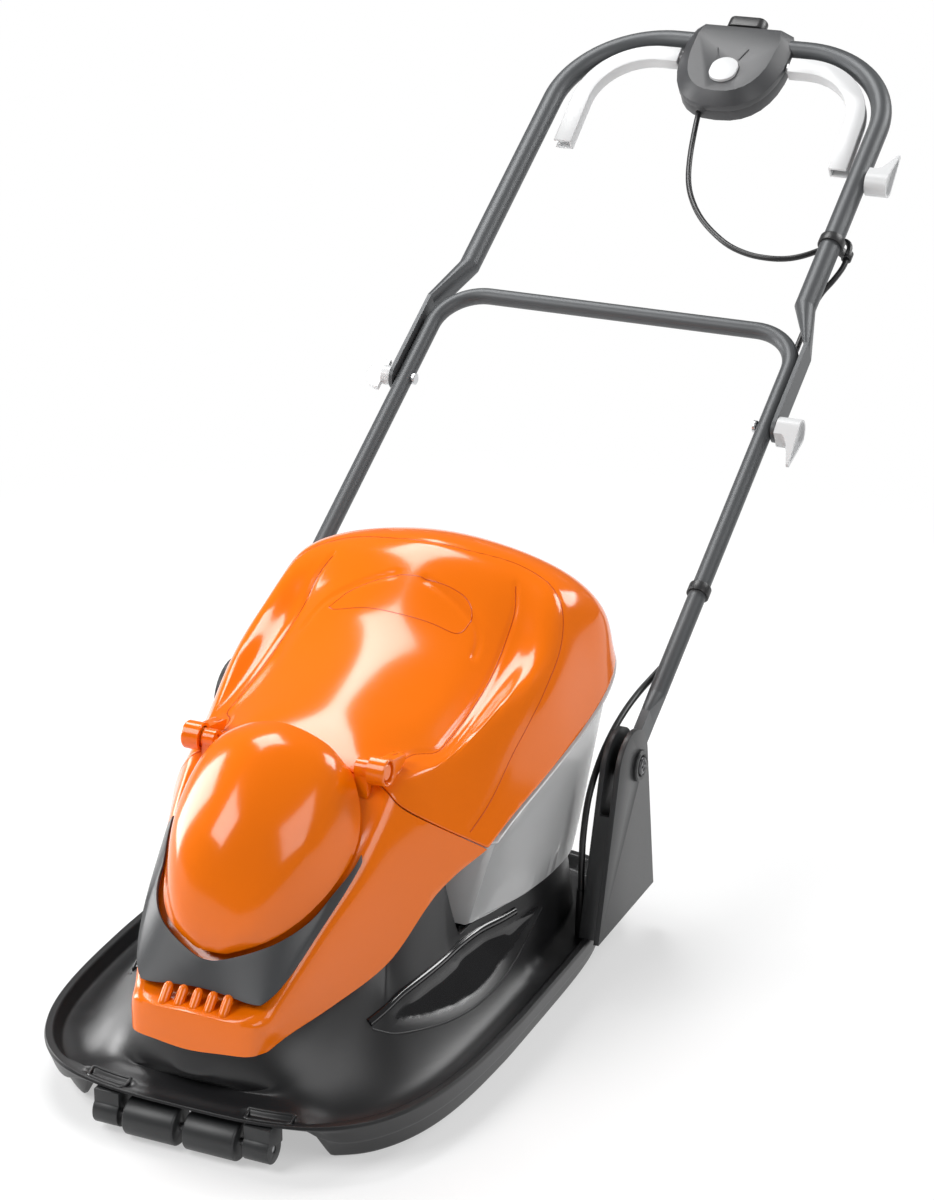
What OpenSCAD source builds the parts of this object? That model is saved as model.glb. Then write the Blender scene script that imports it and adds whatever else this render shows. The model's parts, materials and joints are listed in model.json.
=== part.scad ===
// Electric hover mower with a grass box, a folding handle and a belt-driven blade.
// Millimetres, +Z up, +Y toward the operator, origin on the ground under the blade spindle.

/* [Deck] */
// Half of the deck's width at its lip
deck_half_w = 195; // [188:1:202]
// Length of the deck ahead of the spindle
deck_front = 247; // [240:1:254]
// Length of the deck behind the spindle
deck_rear = 315; // [308:1:322]
// Height of the deck's lip above the ground
lip_z = 42; // [40:0.5:44]
// Thickness of the deck's moulded wall
deck_wall = 3.2; // [2.8:0.1:3.6]
// Height of the ledge that carries the motor plate
ledge_z = 84; // [82:0.5:86]

/* [Covers] */
// Half of the widest width of the lid
cover_half_w = 167; // [163:1:171]
// Length of the lid behind the spindle
cover_len = 342; // [336:1:348]
// Height of the lid's crown
cover_h = 364; // [356:1:372]
// Wall of the hood, the pod cover and the lid
cover_wall = 2.6; // [2.2:0.1:3]
// Gap along the seam between the hood and the lid
seam_gap = 1; // [0.8:0.1:1.4]
// Gap that seats the pod cover on the hood
pod_lift = 0.4; // [0.3:0.1:0.8]
// Height of the hinge line above the seam's crown
hinge_rise = 3.5; // [3:0.1:5]
// Distance of the hinge line ahead of the seam's crown
hinge_ahead = 5.8; // [5:0.1:7]
// Depth of the valley round the lid's dome
valley_depth = 10; // [6:0.5:13]
// Radius of the hinge pins
hinge_pin_r = 4; // [3.5:0.1:4.5]

/* [Grass box] */
// Height of the underside of the grass box
box_z = 93.6; // [93.5:0.1:96]
// Wall of the grass box
box_wall = 2.6; // [2.2:0.1:3]

/* [Handle] */
// Place of the handle pivot behind the spindle
pivot_y = 240; // [236:1:244]
// Height of the handle pivot
pivot_z = 177; // [173:1:181]
// Tilt of the handle at rest on its stop
handle_angle = 31; // [28:0.5:34]
// Diameter of the lower handle's tube
lower_d = 17; // [16:0.5:19]
// How far the lower handle's tubes stand inside the deck's edge
handle_in = 2; // [0:0.5:4]
// Length from the pivot to the lower cross bar
lower_len = 534; // [515:1:550]
// Length from the pivot to the middle joint
joint_len = 410; // [400:1:420]
// Bend radius of the lower handle
lower_bend = 48; // [40:1:56]
// Diameter of the upper handle's tube
upper_d = 22; // [20:0.5:24]
// How far the upper handle's tubes stand inside the lower ones
upper_in = 9; // [5:0.5:12]
// Length from the pivot to the upper cross bar
upper_len = 942; // [925:1:960]
// Bend radius of the upper handle
upper_bend = 110; // [100:1:120]
// Radius of the handle's pivot bolts
pivot_r = 5; // [4:0.25:6]

/* [Switch] */
// Half of the switch box's width
switch_half_w = 60; // [58:0.5:64]
// Length of the switch box in front of the cross bar
switch_len = 104; // [102:1:112]
// Height of the upper shell above the cross bar's middle
switch_top = 18; // [17.5:0.5:22]
// Depth of the lower shell below the cross bar's middle
switch_bottom = 14; // [14:0.5:18]
// Travel of the lock button
button_travel = 3; // [2:0.25:4]

/* [Drive] */
// Tip to tip length of the blade
blade_len = 300; // [280:2:304]
// Height of the blade's underside
blade_z = 20; // [18:0.5:22]
// Radius of the motor casing
motor_r = 48; // [44:0.5:50]
// Height of the motor casing
motor_h = 84; // [76:1:88]
// Pitch radius of the motor pulley
small_pulley_r = 15; // [13:0.5:17]
// Pitch radius of the spindle pulley
large_pulley_r = 30; // [28:0.5:33]

/* [Rollers] */
// Radius of the front rollers
roller_r = 16.5; // [15:0.25:17.5]
// Length of each front roller
roller_len = 47; // [42:0.5:50]
// Radius of the roller axle
axle_r = 3; // [2.5:0.1:3.5]

/* [Lead] */
// Diameter of the lead
lead_d = 6; // [5:0.25:7]

/* [Hidden] */
$fn = 48;

// Clearances and cuts
run_fit = 0.05;
seat_gap = 0.05;
rest_gap = 0.3;
cut = 1;
lap = 0.5;

// Colours
orange = "#f0690a";
black = "#262628";
grey = "#5c5e60";
tube_grey = "#4a4b4d";
pale = "#d4d6d8";
smoke = "#8f9294";
steel = "#b4b7ba";
copper = "#b87333";

// Deck rim, from the skirt's foot over the lip and down into the channel: shares of the half width, the
// front length, the rear length and the lip's height, then the front length and height at the roller notch
rim_shares = [
    [0.93, 0.9, 0.92, 0, 0.9, 0.915],
    [0.955, 0.945, 0.95, 0.45, 0.945, 0.918],
    [0.975, 0.972, 0.978, 0.5, 0.975, 0.921],
    [0.995, 0.996, 0.997, 0.86, 0.996, 0.93],
    [1, 1, 1, 0.93, 1, 0.955],
    [0.995, 0.996, 0.997, 1, 0.996, 1],
    [0.964, 0.972, 0.975, 1, 0.972, 1.001],
    [0.93, 0.95, 0.95, 0.74, 0.95, 1.075],
    [0.875, 0.9, 0.905, 0.74, 0.905, 1.076],
    [0.82, 0.862, 0.86, 0.88, 0.872, 1.14]
];
// Underside of the rim, from the channel back to the skirt's foot
under_shares = [
    [0.8, 0.845, 0.845, 0.8, 0.848, 1.06],
    [0.875, 0.9, 0.905, 0.664, 0.88, 1.03],
    [0.93, 0.95, 0.95, 0.664, 0.884, 1],
    [0.938, 0.93, 0.938, 0.45, 0.885, 0.96],
    [0.912, 0.886, 0.908, 0, 0.886, 0.917]
];
// Squareness of the deck's plan ahead of and behind the spindle, and its taper toward the front
plan_power_front = 3.5;
plan_power_rear = 6;
front_taper_share = 0.05;
// Bearings in plan at which the roller notch ends and the full skirt begins
notch_angles = [24, 31];
// Dome of the deck by bearing from the front: bearing, then the ridge's radius and height, then the top edge's
// radius and height, as shares of the front length and of the ledge's height
dome_shares = [
    [0, 0.935, 0.74, 0.91, 1.1],
    [15, 0.9, 0.76, 0.86, 1.1],
    [22, 0.85, 0.79, 0.765, 1.11],
    [28, 0.8, 0.83, 0.68, 1.14],
    [35, 0.74, 0.89, 0.62, 1.2],
    [44, 0.67, 0.98, 0.56, 1.3],
    [57, 0.565, 1.02, 0.51, 1.5],
    [72, 0.51, 1.02, 0.494, 1.86],
    [86, 0.494, 1.02, 0.486, 1.9],
    [93, 0.5, 1.02, 0.49, 1.75],
    [99, 0.515, 1.01, 0.5, 1.11],
    [112, 0.555, 1, 0.545, 1.11],
    [126, 0.705, 0.98, 0.688, 1.11],
    [135, 0.87, 0.98, 0.852, 1.11],
    [143, 1.03, 0.98, 1.01, 1.11],
    [151, 1.115, 0.98, 1.095, 1.11],
    [162, 1.1, 0.98, 1.08, 1.11],
    [180, 1.06, 0.98, 1.04, 1.11]
];
deck_steps = 60;
ledge_in = 11;
plate_in = 5.5;
slope_sag = 3;
// How the wall thickens under the ridge, inward and downward
ridge_wall_shares = [1.3, 1.4];
half_share = 0.5;

// Seam between the hood and the lid, from its low outer end up to its crown, as shares of the cover's half
// width, length and height
seam_shares = [[0.9, 0.065, 0.495], [0.625, -0.125, 0.645], [0.465, -0.135, 0.705], [0, -0.135, 0.735]];
// Hood sections from the nose to the seam, each from the lower edge up to the middle, as shares of the
// cover's half width, length and height
hood_shares = [
    [[0.37, -0.62, 0.24], [0.31, -0.66, 0.24], [0.18, -0.675, 0.24], [0, -0.68, 0.235]],
    [[0.395, -0.59, 0.25], [0.34, -0.64, 0.31], [0.19, -0.665, 0.32], [0, -0.67, 0.325]],
    [[0.43, -0.545, 0.26], [0.365, -0.595, 0.325], [0.205, -0.6, 0.325], [0, -0.6, 0.325]],
    [[0.485, -0.475, 0.27], [0.42, -0.525, 0.385], [0.24, -0.54, 0.37], [0, -0.545, 0.365]],
    [[0.55, -0.39, 0.285], [0.485, -0.41, 0.465], [0.31, -0.44, 0.455], [0, -0.46, 0.465]],
    [[0.67, -0.24, 0.325], [0.555, -0.28, 0.54], [0.385, -0.305, 0.555], [0, -0.345, 0.605]],
    [[0.765, -0.1, 0.44], [0.585, -0.2, 0.605], [0.445, -0.21, 0.635], [0, -0.235, 0.685]],
    seam_shares
];
// Lid sections from the seam to the rear edge, with a low shoulder outside a raised dome
lid_shares = [
    seam_shares,
    [[0.92, 0.175, 0.525], [0.67, -0.015, 0.675], [0.54, -0.03, 0.73], [0, -0.015, 0.77]],
    [[0.945, 0.28, 0.55], [0.73, 0.13, 0.715], [0.58, 0.115, 0.735], [0, 0.115, 0.795]],
    [[0.97, 0.38, 0.575], [0.795, 0.29, 0.76], [0.595, 0.28, 0.765], [0, 0.28, 0.83]],
    [[0.99, 0.48, 0.6], [0.85, 0.44, 0.785], [0.58, 0.425, 0.815], [0, 0.425, 0.875]],
    [[1, 0.6, 0.625], [0.845, 0.54, 0.825], [0.57, 0.54, 0.87], [0, 0.54, 0.94]],
    [[1, 0.7, 0.65], [0.825, 0.65, 0.88], [0.54, 0.66, 0.95], [0, 0.665, 1]],
    [[0.98, 0.795, 0.675], [0.89, 0.785, 0.855], [0.57, 0.795, 0.945], [0, 0.795, 0.985]],
    [[0.915, 0.885, 0.7], [0.825, 0.885, 0.81], [0.55, 0.89, 0.88], [0, 0.9, 0.92]],
    [[0.765, 0.955, 0.715], [0.69, 0.96, 0.76], [0.48, 0.97, 0.8], [0, 0.975, 0.825]],
    [[0.6, 0.99, 0.725], [0.48, 0.995, 0.725], [0.27, 0.995, 0.725], [0, 1, 0.725]]
];
// Pod cover sections from its low front tip to its rear edge between the hinge ears
pod_shares = [
    [[0.085, -0.55, 0.42], [0.04, -0.555, 0.42], [0, -0.555, 0.42]],
    [[0.285, -0.51, 0.455], [0.155, -0.55, 0.465], [0, -0.56, 0.47]],
    [[0.42, -0.405, 0.505], [0.25, -0.51, 0.54], [0, -0.54, 0.565]],
    [[0.49, -0.27, 0.58], [0.335, -0.425, 0.64], [0, -0.49, 0.67]],
    [[0.46, -0.205, 0.66], [0.335, -0.315, 0.735], [0, -0.38, 0.765]],
    [[0.405, -0.18, 0.72], [0.285, -0.235, 0.79], [0, -0.27, 0.825]],
    [[0.37, -0.17, 0.74], [0.24, -0.175, 0.8], [0, -0.175, 0.83]]
];
// Grey trim round the pod cover's foot: its lower edge and its upper edge from a tip to the middle
trim_shares = [
    [[0.535, -0.275, 0.57], [0.51, -0.35, 0.52], [0.46, -0.47, 0.45], [0.405, -0.555, 0.385],
     [0.325, -0.61, 0.345], [0.18, -0.61, 0.35], [0, -0.605, 0.355]],
    [[0.52, -0.265, 0.585], [0.505, -0.305, 0.555], [0.455, -0.375, 0.515], [0.42, -0.44, 0.485],
     [0.305, -0.52, 0.45], [0.095, -0.565, 0.415], [0, -0.575, 0.41]]
];
cover_sizes = [cover_half_w, cover_len, cover_h];
across_steps = 5;
along_steps = 2;
trim_t = 2.2;
trim_rise = 1.2;

// Foot of the lid's raised dome in plan: its half width, how far that draws in at the rear, its middle and its
// length ahead of the middle, as shares of the cover's half width and length
dome_foot_share = 0.64;
dome_draw_share = 0.1;
dome_middle_share = 0.3;
dome_ahead_share = 0.32;
dome_power = 5;
// Reach of the valley inside and outside the foot, as shares of the foot's size
valley_reach_shares = [0.24, 0.36];
// Where the valley fades out: by the crown, then ahead of the dome, then behind it, each from and to
valley_side_shares = [0.3, 0.46];
valley_front_shares = [-0.12, 0];
valley_rear_shares = [0.48, 0.66];

// Hinge ears of the hood and the lid
hinge_y = seam_shares[3].y * cover_len - hinge_ahead;
hinge_z = seam_shares[3].z * cover_h + hinge_rise;
ear_r = 8;
boss_from = 65;
boss_to = 77;
lug_from = 78;
lug_to = 90;
pin_from = 66;
pin_to = 87;

// Places of the handle's tubes across the mower
lower_half_w = deck_half_w - handle_in;
upper_half_w = lower_half_w - upper_in;

// Handle bracket
ear_t = 5;
ear_gap = 9;
bracket_front_y = 150;
bracket_rear_y = 288;
bracket_top_r = 36;
bracket_web = 4;
bracket_foot_z = 38;
bracket_ahead = 14;
bracket_rise = 2;
bracket_wall_share = 0.76;
bolt_past = 2;
bolt_head_share = 1.2;
bolt_head_r = 9.5;
bolt_head_t = 4;
nut_r = 8;
nut_t = 5;

// Flattened tube ends
tube_wall = 1.2;
drain_r = 2;
flat_t = 8;
flat_w = 24;
flat_len = 52;
taper_len = 26;
joint_t = 4;
joint_w = 26;
joint_bolt_r = 3;
joint_flat_len = 105;
joint_taper_len = 57;
joint_flat_top = joint_len + joint_flat_len;
joint_taper_top = joint_flat_top + joint_taper_len;
side_gap = 0.5;

// Knobs and cable hook: a barrel with a pointed wing at its outer end, and a plain wing on the left
knob_r = 13;
knob_len = 23;
stud_share = 0.7;
wing_len = 41;
wing_tip_r = 3;
wing_lip = 2;
wing_root_share = 0.32;
wing_steps = 10;
dish_depth = 4;
dish_wall = 2.4;
plain_knob_r = 10;
plain_wing_r = 19;
plain_wing_t = 5;
hook_back = 187;
hook_len = upper_len - hook_back;
hook_pin_r = 4;

// Switch box
shell_wall = 3;
bar_cover = 14;
switch_power = 2.5;
switch_rear_share = 0.92;
switch_band = 7;
switch_slope = 13;
bow_steps = 16;
lower_in = 1;
screw_r = 1.6;
screw_head_r = 3;
screw_head_t = 2.4;
screw_grip = 11;
screw_fill_share = 0.8;
screw_seat = 6;
screw_boss_r = 4.5;
screw_rear_share = 0.74;
screw_front_share = 0.4;
screw_from_lever = 14;
screw_from_front = 25;
lever_back = 28;
lever_shaft_r = 4;
lever_in = 29;
lever_half_w = upper_half_w - lever_in;
lever_gap = 3;
lever_bend = 72;
lever_tip_back = 164;
lever_w = 20;
lever_t = 14;
lever_wall = 2.6;
lever_rest_angle = 6;
spring_gap = 0.8;
spring_t = 1.6;
spring_wall = 2;
coil_r = 5;
works_w = 28;
works_len = 20;
works_top = 6;
button_back = 59;
button_w = 30;
button_len = 36;
button_flange = 1.5;
button_flange_t = 2;
inlet_w = 44;
inlet_t = 18;
inlet_len = 14;
inlet_bore_r = 5;

// Drive
motor_share = 0.234;
motor_ahead = motor_share * cover_len;
plate_t = 4;
plate_z = ledge_z + 2 * seat_gap;
plate_screw_r = 2;
plate_screw_head_r = 2.6;
plate_screw_head_t = 2;
plate_screw_short = 0.4;
plate_screw_turns = [-150, -110, -62, 62, 110, 150];
housing_r = 22;
housing_flange = 10;
housing_flange_t = 3.5;
housing_lip = 1;
bearing_r = 16;
bearing_w = 9;
bearing_space = 6;
bearing_proud = 2;
bearing_play = 0.2;
spindle_r = 7.5;
shoulder = 2.5;
shaft_past = 2;
belt_w = 8;
belt_t = 4;
pulley_h = 12;
pulley_lift = 6;
pulley_flange = 2;
pulley_flange_t = 1.5;
motor_shaft_r = 5;
motor_bearing_r = 11;
motor_bearing_w = 7;
bracket_lift = 24;
bracket_plate_t = 4;
bracket_edge = 1;
cup_wall = 3;
shaft_clear = 2;
pillar_r = 5;
pillar_at = 46;
pillar_turns = [30, 150, 210, 330];
casing_wall = 2.5;
vent_count = 6;
vent_w = 12;
vent_h = 9;
vent_z = 10;
armature_r = 28;
air_gap = 1.5;
stack_from = 26;
stack_h = 42;
commutator_r = 12;
commutator_h = 12;
hub_r = 18;
fan_gap = 3;
impeller_r = 100;
vane_count = 12;
vane_t = 2.6;
vane_short = 4;
vane_from_share = 0.2;
blade_w = 46;
blade_t = 3;
blade_wide_share = 0.6;
blade_tip_share = 0.6;
blade_skew = 8;
spacer_t = 5;
spacer_r = 22;
spacer_count = 3;
washer_share = 0.8;
washer_t = 2;
hex_share = 1.4;
hex_h = 9;

// Front rollers
roller_y = -238;
roller_gap = 8;
roller_chamfer = 1.5;
axle_short = 1;
block_from = 57;
block_to = 80;
block_top_share = 0.9;
block_r_share = 0.75;
block_front_share = 0.5;
block_deep_share = 1.4;

// Lead routes: across, along and above the handle, then in the mower's own frame near the deck
lead_loop = [
    [-19, 841, -8], [-15, 815, -9], [-7, 775, -9], [2, 742, -10], [14, 716, -10], [31, 692, -11],
    [51, 673, -12], [75, 656, -12], [99, 648, -13], [121, 646, -13], [138, 649, -14], [153, 655, -14],
    [167, 666, -15], [179, 679, -16], [189, 685, -16], [197, 679, -16], [199, 664, -16], [199, 648, -16],
    [195, 628, -15], [189, 610, -15], [186, 592, -15], [186, 574, -15], [186, 556, -15]
];
lead_joint = [
    [186, 556, -15], [186, 520, -15], [186, 480, -15], [186, 450, -15], [186, 420, -15], [186, 390, -15],
    [186, 360, -15], [186, 340, -15]
];
lead_run = [[186, 340, -15], [186, 300, -15], [186, 250, -15], [186, 202, -15], [186, 160, -15]];
lead_sag = [[186, 150, -15], [186, 140, -15], [184.5, 124, -11.5], [181, 102, -5]];
lead_drop = [
    [177, 306, 219], [176, 272, 213], [176, 238, 203], [176, 209, 187], [175.5, 187, 162], [175.5, 176, 130],
    [175.5, 174, 104], [175.5, 174, 86], [175.5, 174, 72], [175.5, 174, 60]
];
lead_sides = 10;
channel_share = 0.74;
gland_in = 19.5;
gland_y = 174;
gland_h = 46;
gland_r = 4.8;
gland_taper = 0.8;
gland_seat_share = 0.35;
clip_t = 2.4;
clip_len = 10;
clip_upper_point = 16;
clip_lower_point = 3;
clip_upper_len = lead_loop[clip_upper_point].y;
clip_lower_len = lead_run[clip_lower_point].y;

// Shape helpers
function unit(v) = v / norm(v);
function held(list, i) =
    i < 0 ? 2 * list[0] - list[1] : i >= len(list) ? 2 * list[len(list) - 1] - list[len(list) - 2] : list[i];
function spline(a, b, c, d, t) =
    (2 * b + (c - a) * t + (2 * a - 5 * b + 4 * c - d) * t * t + (3 * b - a - 3 * c + d) * t * t * t) / 2;
function curve(list, steps) = [
    for (i = [0 : len(list) - 2]) for (j = [0 : steps - 1])
        spline(held(list, i - 1), list[i], list[i + 1], held(list, i + 2), j / steps),
    list[len(list) - 1]
];
function mirrored(half) =
    concat(half, [for (i = [len(half) - 2 : -1 : 0]) [-half[i].x, half[i].y, half[i].z]]);
function sized(shares, sizes) = [for (row = shares) [for (p = row) [for (k = [0 : 2]) p[k] * sizes[k]]]];
// A smooth grid of points through a net of half sections
function patch(net, across, along) =
    let (rows = [for (r = net) curve(mirrored(r), across)])
    let (columns = [for (j = [0 : len(rows[0]) - 1]) curve([for (r = rows) r[j]], along)])
    [for (i = [0 : len(columns[0]) - 1]) [for (c = columns) c[i]]];
function grid_normal(g, i, j) =
    let (n = len(g) - 1, m = len(g[0]) - 1)
    let (u = g[i][min(m, j + 1)] - g[i][max(0, j - 1)], v = g[min(n, i + 1)][j] - g[max(0, i - 1)][j])
    unit(cross(v, u));
function lowered(g, depth) =
    [for (i = [0 : len(g) - 1]) [for (j = [0 : len(g[0]) - 1]) g[i][j] - depth * grid_normal(g, i, j)]];
function shifted(g, by) = [for (row = g) [for (p = row) p + by]];
function flat_list(g) = [for (row = g) for (p = row) p];

// A closed sheet between an outer and an inner grid
module sheet(outer, inner) {
    n = len(outer);
    m = len(outer[0]);
    size = n * m;
    top = [for (i = [0 : n - 2]) for (j = [0 : m - 2]) each [
        [i * m + j, i * m + j + 1, (i + 1) * m + j + 1],
        [i * m + j, (i + 1) * m + j + 1, (i + 1) * m + j]
    ]];
    under = [for (f = top) [f[2] + size, f[1] + size, f[0] + size]];
    rim = concat(
        [for (j = [0 : m - 1]) j],
        [for (i = [1 : n - 1]) i * m + m - 1],
        [for (j = [m - 2 : -1 : 0]) (n - 1) * m + j],
        [for (i = [n - 2 : -1 : 1]) i * m]
    );
    wall = [for (k = [0 : len(rim) - 1]) let (a = rim[k], b = rim[(k + 1) % len(rim)]) each [
        [a, a + size, b + size], [a, b + size, b]
    ]];
    polyhedron(concat(flat_list(outer), flat_list(inner)), concat(top, under, wall));
}

// A closed band of rings, each joined to the next and the last to the first
module ring_loft(rings) {
    n = len(rings);
    m = len(rings[0]);
    polyhedron(flat_list(rings), [for (k = [0 : n - 1]) for (j = [0 : m - 1])
        let (a = k * m + j, b = k * m + (j + 1) % m)
        let (c = ((k + 1) % n) * m + (j + 1) % m, d = ((k + 1) % n) * m + j)
        each [[a, d, c], [a, c, b]]]);
}

// A tub of rings with a flat floor under the first and over the last
module tub_loft(rings) {
    n = len(rings);
    m = len(rings[0]);
    polyhedron(flat_list(rings), concat(
        [for (k = [0 : n - 2]) for (j = [0 : m - 1])
            let (a = k * m + j, b = k * m + (j + 1) % m, c = (k + 1) * m + (j + 1) % m, d = (k + 1) * m + j)
            each [[a, d, c], [a, c, b]]],
        [[for (j = [0 : m - 1]) j], [for (j = [m - 1 : -1 : 0]) (n - 1) * m + j]]
    ));
}

// A round tube swept along a route
module swept(route, r, sides, up) {
    n = len(route);
    rings = [for (i = [0 : n - 1])
        let (t = unit(route[min(n - 1, i + 1)] - route[max(0, i - 1)]))
        let (s = unit(cross(t, up)), w = cross(s, t))
        [for (k = [0 : sides - 1]) route[i] + r * (cos(k * 360 / sides) * s - sin(k * 360 / sides) * w)]];
    tub_loft(rings);
}

function arc(r, from, to, steps) = [for (i = [0 : steps])
    let (a = from + (to - from) * i / steps) [r * cos(a), r * sin(a)]];
function moved(points, by) = [for (p = points) p + by];

// Deck plan
function blend(a, b, t) = a + (b - a) * t;
function smooth(t) = let (k = max(0, min(1, t))) k * k * (3 - 2 * k);
function plan_radius(turn, w, f, r) =
    let (p = abs(turn) <= 90 ? plan_power_front : plan_power_rear, l = abs(turn) <= 90 ? f : r)
    1 / pow(pow(abs(sin(turn)) / w, p) + pow(abs(cos(turn)) / l, p), 1 / p);
function deck_turn(j) = let (a = j * 360 / deck_steps) a > 180 ? a - 360 : a;
function deck_point(turn, radius, z) =
    let (y = -radius * cos(turn), k = y < 0 ? 1 + front_taper_share * y / deck_front : 1)
    [radius * sin(turn) * k, y, z];
function notch(turn) = 1 - smooth((abs(turn) - notch_angles[0]) / (notch_angles[1] - notch_angles[0]));
function rim_ring(s) = [for (j = [0 : deck_steps - 1])
    let (turn = deck_turn(j), b = notch(turn))
    let (whole = plan_radius(turn, s[0] * deck_half_w, s[1] * deck_front, s[2] * deck_rear))
    let (cleared = plan_radius(turn, s[0] * deck_half_w, s[4] * deck_front, s[2] * deck_rear))
    deck_point(turn, blend(whole, cleared, b), blend(s[3], s[5], b) * lip_z)];
function dome_row(turn) =
    let (a = abs(turn))
    let (i = max([for (k = [0 : len(dome_shares) - 2]) dome_shares[k][0] <= a ? k : 0]))
    let (t = (a - dome_shares[i][0]) / (dome_shares[i + 1][0] - dome_shares[i][0]))
    let (before = i == 0 ? dome_shares[1] : dome_shares[i - 1])
    let (after = i + 2 >= len(dome_shares) ? dome_shares[len(dome_shares) - 2] : dome_shares[i + 2])
    blend(blend(dome_shares[i], dome_shares[i + 1], smooth(t)),
        spline(before, dome_shares[i], dome_shares[i + 1], after, t), half_share);
function ridge_r(turn) = dome_row(turn)[1] * deck_front;
function ridge_z(turn) = dome_row(turn)[2] * ledge_z;
function top_r(turn) = dome_row(turn)[3] * deck_front;
function top_z(turn) = dome_row(turn)[4] * ledge_z;
function dome_ring(kind, inset, drop) = [for (j = [0 : deck_steps - 1])
    let (turn = deck_turn(j))
    deck_point(turn, (kind == 0 ? ridge_r(turn) : top_r(turn)) - inset,
        (kind == 0 ? ridge_z(turn) : top_z(turn)) - drop)];
function level_ring(inset, z) = [for (j = [0 : deck_steps - 1])
    let (turn = deck_turn(j)) deck_point(turn, top_r(turn) - inset, z)];
function between(a, b, t, sag) = [for (j = [0 : len(a) - 1]) blend(a[j], b[j], t) - [0, 0, sag]];

rim_rings = [for (s = rim_shares) rim_ring(s)];
under_rings = [for (s = under_shares) rim_ring(s)];

module deck() {
    channel = rim_rings[len(rim_rings) - 1];
    ridge = dome_ring(0, 0, 0);
    under_ridge = dome_ring(0, deck_wall * ridge_wall_shares[0], deck_wall * ridge_wall_shares[1]);
    color(black) ring_loft(concat(
        rim_rings,
        [between(channel, ridge, half_share, slope_sag), ridge, dome_ring(1, 0, 0), dome_ring(1, deck_wall, 0)],
        [level_ring(deck_wall, ledge_z), level_ring(ledge_in, ledge_z)],
        [level_ring(ledge_in, ledge_z - deck_wall)],
        [under_ridge, between(under_rings[0], under_ridge, half_share, slope_sag)],
        under_rings
    ));
}

// Covers
hood_grid = patch(sized(hood_shares, cover_sizes), across_steps, along_steps);
// Depth of the valley at a point of the lid
function fade(shares, t) = smooth((t - shares[0]) / (shares[1] - shares[0]));
function valley(p) =
    let (x = abs(p.x) / cover_half_w, y = p.y / cover_len)
    let (u = x / (dome_foot_share - dome_draw_share * fade(valley_rear_shares, y)))
    let (v = max(0, (dome_middle_share - y) / dome_ahead_share))
    let (out = pow(pow(u, dome_power) + pow(v, dome_power), 1 / dome_power) - 1)
    let (near = smooth(1 - abs(out) / valley_reach_shares[out < 0 ? 0 : 1]))
    let (along = fade(valley_front_shares, y) * (1 - fade(valley_rear_shares, y)))
    valley_depth * near * fade(valley_side_shares, x) * along;
lid_form = patch(sized(lid_shares, cover_sizes), across_steps, along_steps);
lid_grid = shifted([for (row = lid_form) [for (p = row) p - [0, 0, valley(p)]]], [0, seam_gap, seam_gap]);
pod_grid = shifted(patch(sized(pod_shares, cover_sizes), across_steps, along_steps), [0, -pod_lift, pod_lift]);

module ear(from, to, seat) {
    for (side = [0, 1]) mirror([side, 0, 0]) translate([from, 0, 0]) rotate([90, 0, 90])
        linear_extrude(height = to - from) union() {
            translate([hinge_y, hinge_z]) circle(r = ear_r);
            polygon(seat);
        }
}
module hinge_bores() {
    for (side = [0, 1]) mirror([side, 0, 0]) translate([boss_from - cut, hinge_y, hinge_z]) rotate([0, 90, 0])
        cylinder(r = hinge_pin_r + run_fit, h = lug_to - boss_from + 2 * cut);
}
function by_hinge(points) = moved(points, [hinge_y, hinge_z]);

// Feet of the hinge ears, as shares of the ear's radius
boss_seat_shares = [[-0.8, -0.4], [-0.8, -3], [0.4, -2.1], [0.8, -0.5]];
lug_seat_shares = [[-0.2, -0.9], [1.9, -2.3], [5, -0.6], [5.2, 0], [0.6, 0.8]];
boss_seat = by_hinge(ear_r * boss_seat_shares);
lug_seat = by_hinge(ear_r * lug_seat_shares);

module hood() {
    color(orange) difference() {
        union() {
            sheet(hood_grid, lowered(hood_grid, cover_wall));
            ear(boss_from, boss_to, boss_seat);
        }
        hinge_bores();
    }
}

module pod_cover() {
    color(orange) sheet(pod_grid, lowered(pod_grid, cover_wall));
}

module cover_trim() {
    edges = sized(trim_shares, cover_sizes);
    rows = [for (k = [0, half_share, 1])
        [for (i = [0 : len(edges[0]) - 1]) blend(edges[0][i], edges[1][i], k)]];
    grid = patch(rows, along_steps, along_steps);
    color(grey) sheet(lowered(grid, -trim_rise), lowered(grid, trim_t - trim_rise));
}

module grass_box_lid() {
    color(orange) difference() {
        union() {
            sheet(lid_grid, lowered(lid_grid, cover_wall));
            ear(lug_from, lug_to, lug_seat);
        }
        hinge_bores();
    }
}

module lid_hinge_pins() {
    color(steel) for (side = [0, 1]) mirror([side, 0, 0])
        translate([pin_from, hinge_y, hinge_z]) rotate([0, 90, 0])
            cylinder(r = hinge_pin_r, h = pin_to - pin_from);
}

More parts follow.
